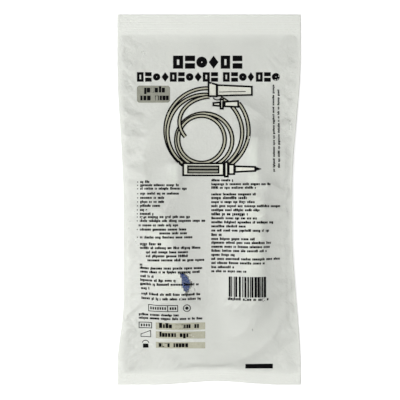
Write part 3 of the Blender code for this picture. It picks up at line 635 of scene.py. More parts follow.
def tree_of(items, shift=(0.0, 0.0, 0.0)):
    """One search tree for the shown faces of several pieces."""
    graph = bpy.context.evaluated_depsgraph_get()
    points = []
    faces = []
    for item in items:
        mesh = item.evaluated_get(graph).to_mesh()
        faces += [[len(points) + corner for corner in face.vertices] for face in mesh.polygons]
        points += [item.matrix_world @ vertex.co + Vector(shift) for vertex in mesh.vertices]
    return BVHTree.FromPolygons(points, faces)


def blurred(values, times):
    """A grid smoothed with its neighbours."""
    for _ in range(times):
        v = np.pad(values, 1, mode="edge")
        values = (v[1:-1, 1:-1] * 4 + v[:-2, 1:-1] + v[2:, 1:-1] + v[1:-1, :-2] + v[1:-1, 2:]) / 8
    return values


def drawn_in(y, depth, bends):
    """How far a side is drawn in at each y."""
    share = 2 * y / POUCH_LENGTH
    full = np.where(share > 0, bends[0][0], bends[1][0])
    none = np.where(share > 0, bends[0][1], bends[1][1])
    return depth * ease((none - np.abs(share)) / (none - full))


def sides_at(y):
    """Left side, right side and seam height at each y."""
    left = -POUCH_WIDTH / 2 + drawn_in(y, LEFT_DRAW, LEFT_BENDS)
    right = POUCH_WIDTH / 2 - drawn_in(y, RIGHT_DRAW, RIGHT_BENDS)
    share = np.clip(np.abs(2 * y / POUCH_LENGTH), 0.0, 1.0)
    seam = END_RISE + (WAIST_RISE - END_RISE) * (1 - share**2) ** 2
    return left, right, seam + PACKED_FILM


def bottom_bow(x, y):
    """How far the middle of the bottom edge is drawn up."""
    fade = ease((-y - POUCH_LENGTH / 4) / (POUCH_LENGTH / 4))
    return BOTTOM_BOW * fade * ease(1 - np.abs(x - BOW_X) / BOW_REACH)


def plan_rows(y, columns):
    """Points between the side seals for each y, at the seam's height, and that height by itself."""
    left, right, seam = sides_at(y)
    left = left + SIDE_SEAL
    right = right - SIDE_SEAL
    points = np.zeros((len(y), columns, 3))
    points[..., 0] = left[:, None] + (right - left)[:, None] * np.linspace(0.0, 1.0, columns)
    points[..., 1] = y[:, None] + bottom_bow(points[..., 0], y[:, None])
    points[..., 2] = seam[:, None] + SEAL_GAP
    return points, seam


def link_views(points, down, across):
    """Pairs of views of the points that are so many rows and columns apart, with none used twice."""
    rows, columns = points.shape[:2]
    step = 2 * max(down, abs(across))
    axis = 0 if down > 0 else 1
    for start in range(step):
        a = [slice(0, rows - down), slice(max(0, -across), columns - max(0, across))]
        b = [slice(down, rows), slice(max(0, across), columns - max(0, -across))]
        for side in (a, b):
            side[axis] = slice(side[axis].start + start, side[axis].stop, step)
        yield points[tuple(a)], points[tuple(b)], tuple(a), tuple(b)


def relaxed(points, spare, bumps, free, ground, stiff):
    """Let the film settle from its bumps: each link keeps its length over the smooth drape with its
    spare share added, and the film lies on what is below it."""
    links = []
    for down, across, firmness in (
        (0, 1, 1.0), (1, 0, 1.0), (1, 1, 0.5), (1, -1, 0.5),
        (0, 2, stiff), (2, 0, stiff), (0, 5, 0.5 * stiff), (5, 0, 0.5 * stiff),
    ):
        for a, b, place_a, place_b in link_views(points, down, across):
            length = np.linalg.norm(b - a, axis=-1, keepdims=True) * (1 + spare[place_a][..., None])
            loose_a = free[place_a][..., None]
            loose_b = free[place_b][..., None]
            total = np.maximum(loose_a + loose_b, LEAST_LOOSE)
            links.append((a, b, loose_a * firmness / total, loose_b * firmness / total, length))
    points[..., 2] += bumps * free
    before = points.copy()
    for _ in range(SETTLE_ROUNDS[1]):
        drift = (points - before) * KEPT_DRIFT * free[..., None]
        before = points.copy()
        points += drift
        points[..., 2] -= PULL_DOWN * free
        for _ in range(LINK_ROUNDS):
            for a, b, share_a, share_b, length in links:
                gap = b - a
                gap *= 1.0 - length / np.sqrt((gap**2).sum(-1, keepdims=True))
                a += gap * share_a
                b -= gap * share_b
        floor = ground.at(points[..., 0], points[..., 1])
        low = (points[..., 2] < floor) & (free > 0)
        points[..., 2][low] = floor[low]
        before[low] = points[low]
    return points


def side_wrinkles():
    """Small creases in millimetres that run in from the side seams, leaning either way."""
    random = np.random.default_rng(seed=8)
    for side, count in zip((-1, 1), SIDE_WRINKLES):
        for _ in range(count):
            y = random.uniform(-108.0, 92.0)
            x = side * (random.uniform(44.0, 54.0) + 4.0 * abs(y / 100) ** 2)
            lean = random.uniform(-1.1, 1.1)
            reach = random.uniform(2.5, 7.0)
            dx, dy = reach * math.cos(lean), reach * math.sin(lean)
            bow = random.uniform(-1.5, 1.5)
            width, height = random.uniform(0.7, 1.2), random.uniform(0.25, 0.7)
            yield x - dx, y - dy, x + dx, y + dy, bow, width, height


def crease_heights(x, y):
    """Height of the sharp creases over the settled film."""
    total = np.zeros_like(x)
    for start_x, start_y, end_x, end_y, bow, width, height in [*CREASES, *side_wrinkles()]:
        start = np.array((start_x, start_y)) / 1000
        run = np.array((end_x, end_y)) / 1000 - start
        length = math.hypot(*run)
        along = ((x - start[0]) * run[0] + (y - start[1]) * run[1]) / length**2
        aside = ((y - start[1]) * run[0] - (x - start[0]) * run[1]) / length
        share = np.clip(along, 0.0, 1.0)
        aside = aside - bow / 1000 * 4 * share * (1 - share)
        ridge = np.exp(-((aside * 1000 / width) ** 2)) * np.sin(math.pi * share) ** 0.5
        total = np.maximum(total, ridge * height / 1000)
    return total


def shell_piece(name, web, thickness, finish):
    """A closed sheet of even thickness over a grid of points."""
    rows, columns = web.shape[:2]
    points = np.concatenate([(web + (0.0, 0.0, lift)).reshape(-1, 3) for lift in (0.0, thickness)])
    top = rows * columns
    index = np.arange(top).reshape(rows, columns)
    cells = np.stack([index[:-1, :-1], index[:-1, 1:], index[1:, 1:], index[1:, :-1]], -1).reshape(-1, 4)
    edge = np.concatenate([index[0, :-1], index[:-1, -1], index[-1, :0:-1], index[:0:-1, 0]])
    rim = np.stack([edge, np.roll(edge, -1), np.roll(edge, -1) + top, edge + top], -1)
    return add_piece(name, points, np.concatenate([cells[:, ::-1], cells + top, rim]), finish.material)


class INFUSION_OT_pouch_film(bpy.types.Operator):
    """Drape the front web over the contents, crumple it at the seams and seal it to the back web"""

    bl_idname = "infusion.pouch_film"
    bl_label = "Pouch Film"

    def execute(self, context):
        sizes = context.scene.infusion_film
        soft = ("front_web", "back_web", "infusion_tube")
        mouldings = [frame["nodes"][name] for name in frame["nodes"] if name not in soft]
        tubes = [bpy.data.objects[name] for name in ("infusion_tube_wall", "tube_under_roller")]
        ground = self.ground(sizes, mouldings + tubes)
        web = self.with_seals(sizes, self.settled(sizes, ground))
        gap = self.gap_below(sizes, web, mouldings).ravel()
        front = shell_piece("front_film", web, sizes.thickness, film_finish(sizes))
        attribute = front.data.attributes.new("film_gap", "FLOAT", "POINT")
        attribute.data.foreach_set("value", np.concatenate([gap, gap]).astype(np.float32))
        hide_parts("front_web")
        web[..., 2] = self.back_heights(sizes, web[..., 0], web[..., 1])
        back = shell_piece("back_film", web, sizes.thickness, back_finish(sizes))
        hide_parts("back_web")
        for piece in (front, back):
            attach(piece, SET_BODY)
        return {"FINISHED"}

    def ground(self, sizes, contents):
        """What the front web lies on: the contents, the roller all along its travel, and the back web."""
        joint = frame["joints"][0]
        trees = [tree_of(contents)]
        for step in range(1, ROLLER_STEPS + 1):
            shift = Vector(joint["axis"]) * joint["range_m"][1] * step / ROLLER_STEPS
            trees.append(tree_of([frame["nodes"]["clamp_roller"]], shift))
        ground = Heights(trees).spread(reach=2)
        back = self.back_heights(sizes, *np.meshgrid(ground.xs, ground.ys))
        ground.values = np.maximum(ground.values, back) + 2 * sizes.thickness
        return ground

    def settled(self, sizes, ground):
        """The draped part of the front web, between its seals, as rows and columns of points."""
        low_y = -POUCH_LENGTH / 2 + BOTTOM_SEAL
        high_y = POUCH_LENGTH / 2 - TOP_SEAL
        rows = round((high_y - low_y) / sizes.facet) + 1
        columns = round((POUCH_WIDTH - 2 * SIDE_SEAL) / sizes.facet) + 1
        points, seam = plan_rows(np.linspace(low_y, high_y, rows), columns)
        web = tree_of([frame["nodes"]["front_web"]])
        free = np.zeros((rows, columns))
        free[1:-1, 1:-1] = 1.0
        for j, i in np.argwhere(free > 0):
            hit = web.ray_cast(Vector((points[j, i, 0], points[j, i, 1], ABOVE)), DOWN)[0]
            points[j, i, 2] = (hit.z if hit else seam[j] + sizes.thickness) - sizes.thickness
        smooth = np.maximum(blurred(points[..., 2], times=24), ground.at(points[..., 0], points[..., 1]))
        points[..., 2] = np.where(free > 0, smooth, points[..., 2])
        share = np.linspace(0.0, 1.0, columns)
        near_side = 1 - ease(np.minimum(share, 1 - share) * POUCH_WIDTH / sizes.side_reach)
        spare = sizes.slack + sizes.side_slack * near_side + 0 * points[..., 0]
        bumps = FIRST_BUMPS * (1 + soft_noise((rows, columns), BUMP_CELLS, seed=4))
        points = relaxed(points, spare, bumps, free, ground, sizes.stiffness)
        points[..., 2] += crease_heights(points[..., 0], points[..., 1]) * free
        return points

    def with_seals(self, sizes, points):
        """The whole web's underside, with its ribbed end seals and its side seals added."""
        bands = []
        for start, end, rows in (
            (-POUCH_LENGTH / 2, -POUCH_LENGTH / 2 + BOTTOM_SEAL, BOTTOM_ROWS),
            (POUCH_LENGTH / 2 - TOP_SEAL, POUCH_LENGTH / 2, TOP_ROWS),
        ):
            y = np.linspace(start, end, rows)
            band, seam = plan_rows(y, points.shape[1])
            fade = ease(np.minimum(y - start, end - y) / RIB_FADE)
            ribs = (1 - np.cos(math.tau * y / sizes.rib_pitch)) * sizes.rib_height * fade
            band[..., 2] = (seam + SEAL_GAP + ribs)[:, None]
            bands.append(band)
        whole = np.concatenate([bands[0][:-1], points, bands[1][1:]])
        wide = np.pad(whole, ((0, 0), (SEAL_COLUMNS, SEAL_COLUMNS), (0, 0)), mode="edge")
        for k in range(SEAL_COLUMNS):
            out = SIDE_SEAL * (1 - k / SEAL_COLUMNS)
            wide[:, k, 0] -= out
            wide[:, -1 - k, 0] += out
        return wide

    def gap_below(self, sizes, web, mouldings):
        """How far the web stands off the moulded pieces, for its finish to read: its haze and its painted
        shade follow it.
        """
        x, y, z = web[..., 0], web[..., 1], web[..., 2]
        below = Heights([tree_of(mouldings)]).at(x, y)
        gap = np.where(below > 0, np.clip(z - below, LEAST_GAP, EMPTY_GAP), EMPTY_GAP)
        gap[:BOTTOM_ROWS] = gap[-TOP_ROWS:] = SEALED_GAP
        gap[:, : SEAL_COLUMNS + 1] = gap[:, -SEAL_COLUMNS - 1 :] = SEALED_GAP
        gap = blurred(gap, times=16)
        roller = Heights([tree_of([frame["nodes"]["clamp_roller"]])]).spread(reach=1).at(x, y)
        gap[(roller > 0) & (below < roller + sizes.thickness)] = 0.0
        return gap

    def back_heights(self, sizes, x, y):
        """The back web: flat where it rests, and lifted to the seam round its edge."""
        left, right, seam = sides_at(y[:, 0])
        inside = np.minimum(x - left[:, None], right[:, None] - x) - SIDE_SEAL
        ends = np.minimum(y + POUCH_LENGTH / 2 - BOTTOM_SEAL, POUCH_LENGTH / 2 - TOP_SEAL - y)
        lift = 1 - ease(np.minimum(inside, ends) / BACK_LIFT)
        return np.maximum(seam[:, None] * lift - lift * sizes.thickness, 0.0)


def film_finish(sizes):
    """Milky soft film: hazier where it stands off the contents and clearer where it clings to them. Its
    colour has painted shade: darker where it stands off the moulded pieces, lighter close over them.
    """
    made = Finish("milky pouch film", sizes.milky, sizes.roughness)
    gap = made.node("Attribute", {"attribute_name": "film_gap"})["Fac"]
    near = made.between(gap, 0.0, 1.0, start=0.0032, end=0.0075)
    pressed = made.between(gap, 0.0, 1.0, end=LEAST_GAP)
    sealed = made.between(gap, 0.0, 1.0, start=0.010, end=SEALED_GAP)
    mottle = made.noise(55.0, detail=4.0, distortion=0.6)
    streaked = made.stretched((1.0, 0.22, 1.0), (0.0, 0.0, 0.5))
    streaks = made.noise(160.0, detail=3.0, vector=streaked, distortion=0.4)
    haze = made.math(
        "ADD", made.between(near, sizes.clinging, sizes.cover), made.between(mottle, -0.05, 0.05)
    )
    haze = made.math("ADD", made.math("MULTIPLY", haze, pressed), made.between(sealed, 0.0, 0.1))
    made.set(Transmission_Weight=made.math("SUBTRACT", 1.0, haze), IOR=1.3)
    # Painted shade and light: the colour is darker over the air inside the pouch and lighter close over the
    # moulded pieces; the seals have one even shade
    painted_shade_over_air = made.mixed(mottle, shade(made.colour, 0.79), shade(made.colour, 0.87))
    painted_light_over_contents = made.mixed(mottle, shade(made.colour, 0.92), shade(made.colour, 0.99))
    pale = made.mixed(near, painted_light_over_contents, painted_shade_over_air)
    made.set(Base_Color=made.mixed(sealed, pale, shade(made.colour, 0.92)))
    rough = made.between(streaks, made.roughness - 0.08, made.roughness + 0.12)
    made.set(Roughness=made.math("MULTIPLY", rough, made.between(pressed, 0.3, 1.0)))
    from_middle = made.math("ABSOLUTE", made.node("SeparateXYZ", Vector=made.place)["X"])
    beside = made.between(from_middle, 0.0, 1.0, start=0.038, end=0.056)
    crumple = made.math("MULTIPLY", made.noise(230.0, detail=3.0, distortion=1.5), beside)
    fine = made.math("ADD", made.noise(420.0, detail=3.0), made.math("MULTIPLY", crumple, 3.0))
    made.relief(made.math("ADD", streaks, fine), strength=0.35, distance=0.0006)
    return made


def back_finish(sizes):
    """The same film with nothing printed on it, hazy all over, in a greyer colour that is partly its haze and
    partly painted shade.
    """
    made = Finish("milky back film", sizes.back, sizes.roughness)
    mottle = made.noise(48.0, detail=4.0, distortion=0.6)
    made.set(Alpha=made.between(mottle, sizes.back_cover - 0.06, sizes.back_cover + 0.06))
    made.clouded(mottle, low=0.95, high=1.02)
    streaked = made.stretched((0.3, 1.0, 1.0), (0.0, 0.0, 0.3))
    streaks = made.noise(160.0, detail=3.0, vector=streaked, distortion=1.2)
    made.relief(streaks, strength=0.25, distance=0.0005)
    return made


# Print

PRINT_LIFT = 0.00007  # clear of the film's facets
PRINT_STEP = 1.0  # longest facet of a printed shape, in millimetres
INK_FILL = 0.9  # share of a layer's depth that its ink takes up
INK_ROUGHNESS = {"black": 0.4, "grey": 0.45, "buff": 0.5, "pale": 0.5}

# Places on the print, in millimetres from the pouch's middle. Lines of text: middle, start, length
LEFT_LINES = [
    (11.7, -46.1, 5.4), (9.5, -46.1, 25.1), (7.2, -46.1, 30.5), (3.9, -46.1, 26.4), (1.1, -46.1, 15.6),
    (-1.6, -46.1, 15.6), (-4.2, -46.1, 12.9), (-6.9, -46.1, 4.7), (-9.5, -46.1, 8.8),
    (-11.6, -46.1, 32.5), (-14.2, -46.1, 43.4), (-17.1, -46.9, 27.2), (-19.9, -46.1, 30.5),
    (-22.4, -33, 17.4), (-25.1, -46.1, 34.6), (-32.1, -46.1, 39.3), (-34.9, -42, 28.8),
    (-37.5, -42, 28.8), (-40.2, -41, 37.3), (-43.4, -46.4, 1.8), (-45.6, -46.4, 41.6),
    (-48.1, -46, 39.6), (-51.1, -46, 9.2), (-53.7, -46.2, 23.5), (-56.3, -46.2, 38.7),
    (-59.2, -45.6, 5.6), (-62.9, -45.4, 38.7), (-65.9, -45.4, 39.3), (-77.1, -47.4, 27.1),
    (-79.6, -47.4, 42.7),
]
BULLETS = (11.7, 9.5, 7.2, 3.9, 1.1, -1.6, -4.2, -6.9, -9.5, -11.6, -14.2, -19.9, -25.1)
BULLET_X = -47.9
BULLET_SIZE = 0.7
RIGHT_START = 1.4
RIGHT_LINES = [  # middle, length
    (12.8, 14.2), (10.2, 38.6), (7.8, 29.1), (3.4, 28.5), (-1.7, 27.8), (-4.4, 45.8), (-7.1, 32.5),
    (-12.5, 29.8), (-15.2, 41.3), (-17.9, 22.4), (-20.7, 38.3), (-26.3, 27.8), (-28.8, 40),
    (-31.5, 38.3), (-34.2, 35.9), (-36.9, 15.6), (-39.6, 45.1), (-42.3, 35.2), (-45.1, 14.9),
    (-47.8, 23.4),
]
BOLD_LINES = [(-29.5, -46.1, 14.2), (1, 1.4, 23.4), (-9.8, 1.4, 23.7), (-23.6, 1.4, 7.1)]
SIDE_LINES = [(18.6, 43.4, 59), (21.3, 46.8, 52.9)]  # upright: foot, x, length
FIELD_LINES = [(-84.7, -33.6, 27), (-90.8, -33.4, 21), (-97.8, -34, 20)]
GREY_LINES = [(73.9, -43.9, 13.2), (68.6, -46.5, 18)]
DIGIT_LINES = [(-66.2, 12.4, 26)]
HEADINGS = [  # foot, height, start, blocks in each word, pitch of the blocks
    (88.4, 8.8, -24.4, (6,), 8.05),
    (79.6, 6.4, -48.8, (10, 7), 5.56),
]
WORD_GAP = 0.45  # between the words of a heading, as a share of its pitch
BUFF_BARS = [(-87.1, -82.3), (-93.2, -88.4), (-99.9, -95.7)]
BUFF_SIDES = (-35.9, -2.7)
GREY_FIELD = ((-48.8, 65.4), (-26.4, 76.9))
GREY_CORNER = 1.2
BARCODE = (12.9, 37.9, -64.7, -51.2)  # left, right, foot, top
BAR_MODULE = 0.33
BLACK_BAR = ((24.4, -114), (43, -110.8))


def rectangle(low, high):
    return [low, (high[0], low[1]), high, (low[0], high[1])]


def curve_points(centre, radii, start, end, steps):
    """Points on a stretched circle, between two angles in degrees."""
    angles = np.radians(np.linspace(start, end, steps))
    return np.stack([centre[0] + radii[0] * np.cos(angles), centre[1] + radii[1] * np.sin(angles)], -1)


def print_tree(strokes):
    """Nodes that lay print on the film. With strokes, each point first becomes an upright stroke."""
    name = "Printed strokes" if strokes else "Printed shapes"
    tree = bpy.data.node_groups.get(name)
    if tree:
        return tree
    tree = bpy.data.node_groups.new(name, "GeometryNodeTree")
    for label, kind in (("Geometry", "Geometry"), ("Film", "Object"), ("Lift", "Float"), ("Ink", "Material")):
        tree.interface.new_socket(label, in_out="INPUT", socket_type="NodeSocket" + kind)
    tree.interface.new_socket("Geometry", in_out="OUTPUT", socket_type="NodeSocketGeometry")

    def add(kind, output, settings=(), **inputs):
        return add_node(tree, kind, settings, **inputs)[output]

    given = add_node(tree, "NodeGroupInput")
    shape = given["Geometry"]
    if strokes:
        block = add("GeometryNodeMeshCube", "Mesh")
        vector = {"data_type": "FLOAT_VECTOR"}
        size = add("GeometryNodeInputNamedAttribute", "Attribute", vector, Name="stroke_size")
        copies = add("GeometryNodeInstanceOnPoints", "Instances", Points=shape, Instance=block, Scale=size)
        shape = add("GeometryNodeRealizeInstances", "Geometry", Geometry=copies)
    film = add("GeometryNodeObjectInfo", "Geometry", Object=given["Film"])
    place = add_node(tree, "ShaderNodeSeparateXYZ", Vector=add("GeometryNodeInputPosition", "Position"))
    above = add("ShaderNodeCombineXYZ", "Vector", X=place["X"], Y=place["Y"], Z=ABOVE)
    rays = {"Source_Position": above, "Ray_Direction": DOWN, "Ray_Length": 2 * ABOVE}
    hit = add("GeometryNodeRaycast", "Hit Position", Target_Geometry=film, **rays)
    surface = add("ShaderNodeSeparateXYZ", "Z", Vector=hit)
    offset = add("ShaderNodeCombineXYZ", "Vector", Z=add_math(tree, "ADD", surface, given["Lift"]))
    moved = add("GeometryNodeSetPosition", "Geometry", Geometry=shape, Offset=offset)
    real = add("GeometryNodeRealizeInstances", "Geometry", Geometry=moved)
    inked = add("GeometryNodeSetMaterial", "Geometry", Geometry=real, Material=given["Ink"])
    add_node(tree, "NodeGroupOutput", Geometry=inked)
    return tree


def through_nodes(item, tree, values):
    """Run an object through a node tree and keep the plain mesh that comes out."""
    step = item.modifiers.new(tree.name, "NODES")
    step.node_group = tree
    for socket in tree.interface.items_tree:
        if socket.in_out == "INPUT" and socket.name in values:
            step[socket.identifier] = values[socket.name]
    bpy.context.view_layer.update()
    graph = bpy.context.evaluated_depsgraph_get()
    mesh = bpy.data.meshes.new_from_object(item.evaluated_get(graph))
    item.modifiers.remove(step)
    mesh.name = item.name
    item.data = mesh


def ink_finish(kind, sizes):
    """Ink on film: nearly even, a little thinner in places, with a soft gloss."""
    name = kind + " ink"
    known = bpy.data.materials.get(name)
    if known:
        return known
    made = Finish(name, getattr(sizes, kind), INK_ROUGHNESS[kind])
    thin = made.noise(700.0, detail=3.0)
    made.clouded(thin, low=0.85, high=1.25)
    made.worn(thin, less=0.08, more=0.12)
    made.set(Specular_IOR_Level=0.03)
    made.relief(thin, strength=0.1, distance=0.00005)
    return made.material


def lay_on_film(item, strokes, kind, sizes):
    """Lay a printed piece on the film, in one of the inks."""
    values = {"Film": bpy.data.objects["front_film"], "Lift": PRINT_LIFT, "Ink": ink_finish(kind, sizes)}
    through_nodes(item, print_tree(strokes), values)
    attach(item, SET_BODY)


class Ink:
    """Printed shapes as flat prisms, before they are laid on the film. Sizes are in millimetres."""

    DISC_SIDES = 20
    DISC_RINGS = (1.0, 0.5, 0.12)  # shares of the radius, so that a disc can follow the film

    def __init__(self, sizes):
        self.sizes = sizes
        self.points = []
        self.faces = []

    def patch(self, grid, layer=0, closed=False):
        """A prism over a grid of plan points. With closed, its first and last rows are joined."""
        grid = np.asarray(grid, float) * MM
        rows, columns = grid.shape[:2]
        start = len(self.points)
        depth = self.sizes.depth
        for height in (layer * depth, layer * depth + INK_FILL * depth):
            self.points += [(x, y, height) for x, y in grid.reshape(-1, 2)]
        top = rows * columns
        index = np.arange(top).reshape(rows, columns) + start
        if closed:
            index = np.concatenate([index, index[:1]])
            rims = [index[:, 0], index[::-1, -1]]
        else:
            loop = [index[0, :-1], index[:-1, -1], index[-1, :0:-1], index[:0:-1, 0]]
            rims = [np.append(np.concatenate(loop), index[0, 0])]
        cells = np.stack([index[:-1, :-1], index[1:, :-1], index[1:, 1:], index[:-1, 1:]], -1).reshape(-1, 4)
        self.faces += [tuple(cell) for cell in cells] + [tuple(cell[::-1] + top) for cell in cells]
        for rim in rims:
            self.faces += [(a, b, b + top, a + top) for a, b in zip(rim[:-1], rim[1:])]

    def quad(self, a, b, c, d, layer=0):
        """A four-sided field, cut finely enough to follow the film."""
        a, b, c, d = (np.array(p, float) for p in (a, b, c, d))
        v, u = (
            np.linspace(0, 1, max(2, math.ceil(max(map(np.linalg.norm, sides)) / PRINT_STEP) + 1))
            for sides in ((d - a, c - b), (b - a, c - d))
        )
        v, u = v[:, None, None], u[None, :, None]
        self.patch((a * (1 - u) + b * u) * (1 - v) + (d * (1 - u) + c * u) * v, layer)

    def box(self, low, high, layer=0):
        self.quad(*rectangle(low, high), layer)

    def row(self, count, pitch, low, high):
        """Boxes side by side."""
        for k in range(count):
            self.box((low[0] + pitch * k, low[1]), (high[0] + pitch * k, high[1]))

    def ribbon(self, points, width, layer=0, closed=False):
        """A line of even width along a path."""
        points = np.asarray(points, float)
        if closed:
            ahead = np.roll(points, -1, 0) - np.roll(points, 1, 0)
        else:
            ahead = np.gradient(points, axis=0)
        ahead /= np.linalg.norm(ahead, axis=1)[:, None]
        side = np.stack([-ahead[:, 1], ahead[:, 0]], -1)
        offsets = np.array([-0.5, 0.0, 0.5]) * width
        self.patch(points[:, None] + side[:, None] * offsets[None, :, None], layer, closed)

    def outline(self, corners, width, layer=0):
        """Straight lines round a shape, each its own prism, overlapping at the corners by layer."""
        for number, (a, b) in enumerate(zip(corners, corners[1:] + corners[:1])):
            a = np.array(a, float)
            b = np.array(b, float)
            along = (b - a) / np.linalg.norm(b - a) * width / 2
            steps = max(2, math.ceil(np.linalg.norm(b - a)) + 1)
            line = [(a - along) + (b - a + 2 * along) * k / (steps - 1) for k in range(steps)]
            self.ribbon(line, width, layer + number % 2)

    def disc(self, centre, radius):
        """A filled round spot."""
        angles = np.arange(self.DISC_SIDES) * math.tau / self.DISC_SIDES
        spokes = np.stack([np.cos(angles), np.sin(angles)], -1)
        radii = radius * np.array(self.DISC_RINGS)
        self.patch(np.array(centre) + spokes[:, None] * radii[None, :, None], closed=True)

    def print(self, name, kind):
        lay_on_film(add_piece(name, self.points, self.faces, smooth=False), False, kind, self.sizes)


class Strokes:
    """Upright strokes that stand in for small text, as points with a size each."""

    HEIGHTS = (0.75, 0.75, 0.75, 1.0)  # shares of the text's height
    LAYER = 2.5  # depths of ink from the film to a stroke's middle
    IN_WORD = (2, 10)  # fewest strokes in a word, and one more than the most
    WIDTHS = (0.7, 1.5)  # these and the spaces are shares of a stroke's width
    SPACES = (0.15, 0.4)
    WORD_SPACE = 1.8

    def __init__(self, sizes):
        self.sizes = sizes
        self.random = np.random.default_rng(seed=11)
        self.places = []
        self.extents = []

    def add(self, x, y, width, height):
        self.places.append((x, y, self.sizes.depth * self.LAYER))
        self.extents.append((width, height, self.sizes.depth * INK_FILL))

    def line(self, y, x, length, scale, upright):
        """Words of strokes along a line, in millimetres, with some taller and some lower."""
        tall = self.sizes.text_height * scale
        stroke = self.sizes.stroke * scale
        at = 0.0
        left_in_word = 0
        while at < length * MM:
            if not left_in_word:
                left_in_word = int(self.random.integers(*self.IN_WORD))
            width = stroke * self.random.uniform(*self.WIDTHS)
            height = tall * self.random.choice(self.HEIGHTS)
            shift = (height - self.HEIGHTS[0] * tall) / 2 * self.random.choice((1.0, 1.0, -1.0))
            middle = at + width / 2
            if upright:
                self.add(x * MM - shift, y * MM + middle, height, width)
            else:
                self.add(x * MM + middle, y * MM + shift, width, height)
            left_in_word -= 1
            space = self.random.uniform(*self.SPACES) if left_in_word else self.WORD_SPACE
            at += width + stroke * space

    def lines(self, lines, scale=1.0, upright=False):
        for line in lines:
            self.line(*line, scale, upright)

    def print(self, name, kind):
        made = add_piece(name, self.places, [], smooth=False)
        attribute = made.data.attributes.new("stroke_size", "FLOAT_VECTOR", "POINT")
        attribute.data.foreach_set("vector", np.array(self.extents, np.float32).ravel())
        lay_on_film(made, True, kind, self.sizes)


class INFUSION_OT_print_heading(bpy.types.Operator):
    """Print the two heading lines as rows of heavy plain shapes"""

    bl_idname = "infusion.print_heading"
    bl_label = "Heading Shapes"

    WIDTHS = (0.78, 0.86)  # of a block, as shares of the pitch
    BORDER = 0.38  # of a frame, as a share of the block's width
    DISC = 0.56  # radius of a disc, as a share of the same
    BAR = 0.42  # height of each of two bars, as a share of the block's height

    def execute(self, context):
        random = np.random.default_rng(seed=5)
        ink = Ink(context.scene.infusion_print)
        for foot, height, start, words, pitch in HEADINGS:
            at = start
            for shapes in words:
                for number in range(shapes):
                    width = pitch * random.uniform(*self.WIDTHS)
                    self.add_shape(ink, number % 4, at, foot, width, height)
                    at += pitch
                at += pitch * WORD_GAP
        ink.print("print_heading", "black")
        return {"FINISHED"}

    def add_shape(self, ink, kind, left, foot, width, height):
        """One of four plain shapes: a square frame, two bars, a disc or a lozenge."""
        right = left + width
        top = foot + height
        x, y = left + width / 2, foot + height / 2
        if kind == 0:
            border = width * self.BORDER
            inset = border / 2
            ink.outline(rectangle((left + inset, foot + inset), (right - inset, top - inset)), border)
        elif kind == 1:
            bar = height * self.BAR
            ink.box((left, foot), (right, foot + bar))
            ink.box((left, top - bar), (right, top))
        elif kind == 2:
            ink.disc((x, y), width * self.DISC)
        else:
            ink.quad((x, foot), (right, y), (x, top), (left, y))


class INFUSION_OT_print_text(bpy.types.Operator):
    """Print the columns of small text as rows of short plain strokes"""

    bl_idname = "infusion.print_text"
    bl_label = "Text Strokes"

    def execute(self, context):
        text = Strokes(context.scene.infusion_print)
        text.lines(LEFT_LINES)
        for y in BULLETS:
            text.add(BULLET_X * MM, y * MM, BULLET_SIZE * MM, BULLET_SIZE * MM)
        text.lines([(y, RIGHT_START, length) for y, length in RIGHT_LINES])
        text.lines(BOLD_LINES, 1.15)
        text.lines(SIDE_LINES, 0.8, upright=True)
        text.lines(FIELD_LINES, 2.1)
        text.lines(GREY_LINES, 2.5)
        text.lines(DIGIT_LINES, 1.2)
        text.print("print_text", "black")
        return {"FINISHED"}


class INFUSION_OT_print_fields(bpy.types.Operator):
    """Print the rounded grey field and the three buff bars"""

    bl_idname = "infusion.print_fields"
    bl_label = "Coloured Fields"

    def execute(self, context):
        sizes = context.scene.infusion_print
        grey = Ink(sizes)
        (left, low), (right, high) = GREY_FIELD
        grey.box((left + GREY_CORNER, low), (right - GREY_CORNER, high))
        for outer, inner in ((left, left + GREY_CORNER), (right, right - GREY_CORNER)):
            grey.quad((outer, low + GREY_CORNER), (inner, low), (inner, high), (outer, high - GREY_CORNER))
        grey.print("print_grey_field", "grey")
        buff = Ink(sizes)
        for low, high in BUFF_BARS:
            buff.box((BUFF_SIDES[0], low), (BUFF_SIDES[1], high))
        buff.print("print_buff_bars", "buff")
        return {"FINISHED"}


class INFUSION_OT_print_marks(bpy.types.Operator):
    """Print the stripe code, the black bar and the plain marks beside the text"""

    bl_idname = "infusion.print_marks"
    bl_label = "Stripes And Marks"

    def execute(self, context):
        random = np.random.default_rng(seed=8)
        ink = Ink(context.scene.infusion_print)
        at, right, foot, top = BARCODE
        while at < right:
            width = BAR_MODULE * random.integers(2, 6)
            if at + width < right:
                ink.box((at, foot), (at + width, top))
            at += width + BAR_MODULE * random.integers(1, 4)
        ink.box(*BLACK_BAR)
        self.add_marks(ink)
        ink.print("print_marks", "black")
        return {"FINISHED"}

    def add_marks(self, ink):
        """A box of two cells, a ringed spot and three small signs, all plain shapes."""
        ink.outline(rectangle((-40.6, -74.4), (-21, -70.1)), width=0.5)
        ink.box((-27.9, -74.1), (-27.3, -70.4), layer=2)
        ink.row(7, 1.6, (-39.4, -73.2), (-38.4, -71.3))
        ink.row(3, 1.6, (-26.3, -73.2), (-25.2, -71.3))
        ink.ribbon(curve_points((-14.9, -72.2), (2.3, 2.3), 0, 354, 40), width=0.55, closed=True)
        ink.disc((-14.9, -72.2), 1.1)
        ink.outline(rectangle((-47.2, -86.3), (-38.7, -82.5)), width=0.5)
        ink.row(4, 1.7, (-46, -85.3), (-45, -83.5))
        ink.outline([(-46, -92.4), (-39.4, -92.4), (-39.4, -88), (-46, -90.6)], width=0.45)
        ink.box((-44.7, -99.9), (-41, -97.2))
        ink.ribbon(curve_points((-42.9, -97), (2.2, 2.1), 10, 170, 16), width=0.5, layer=2)


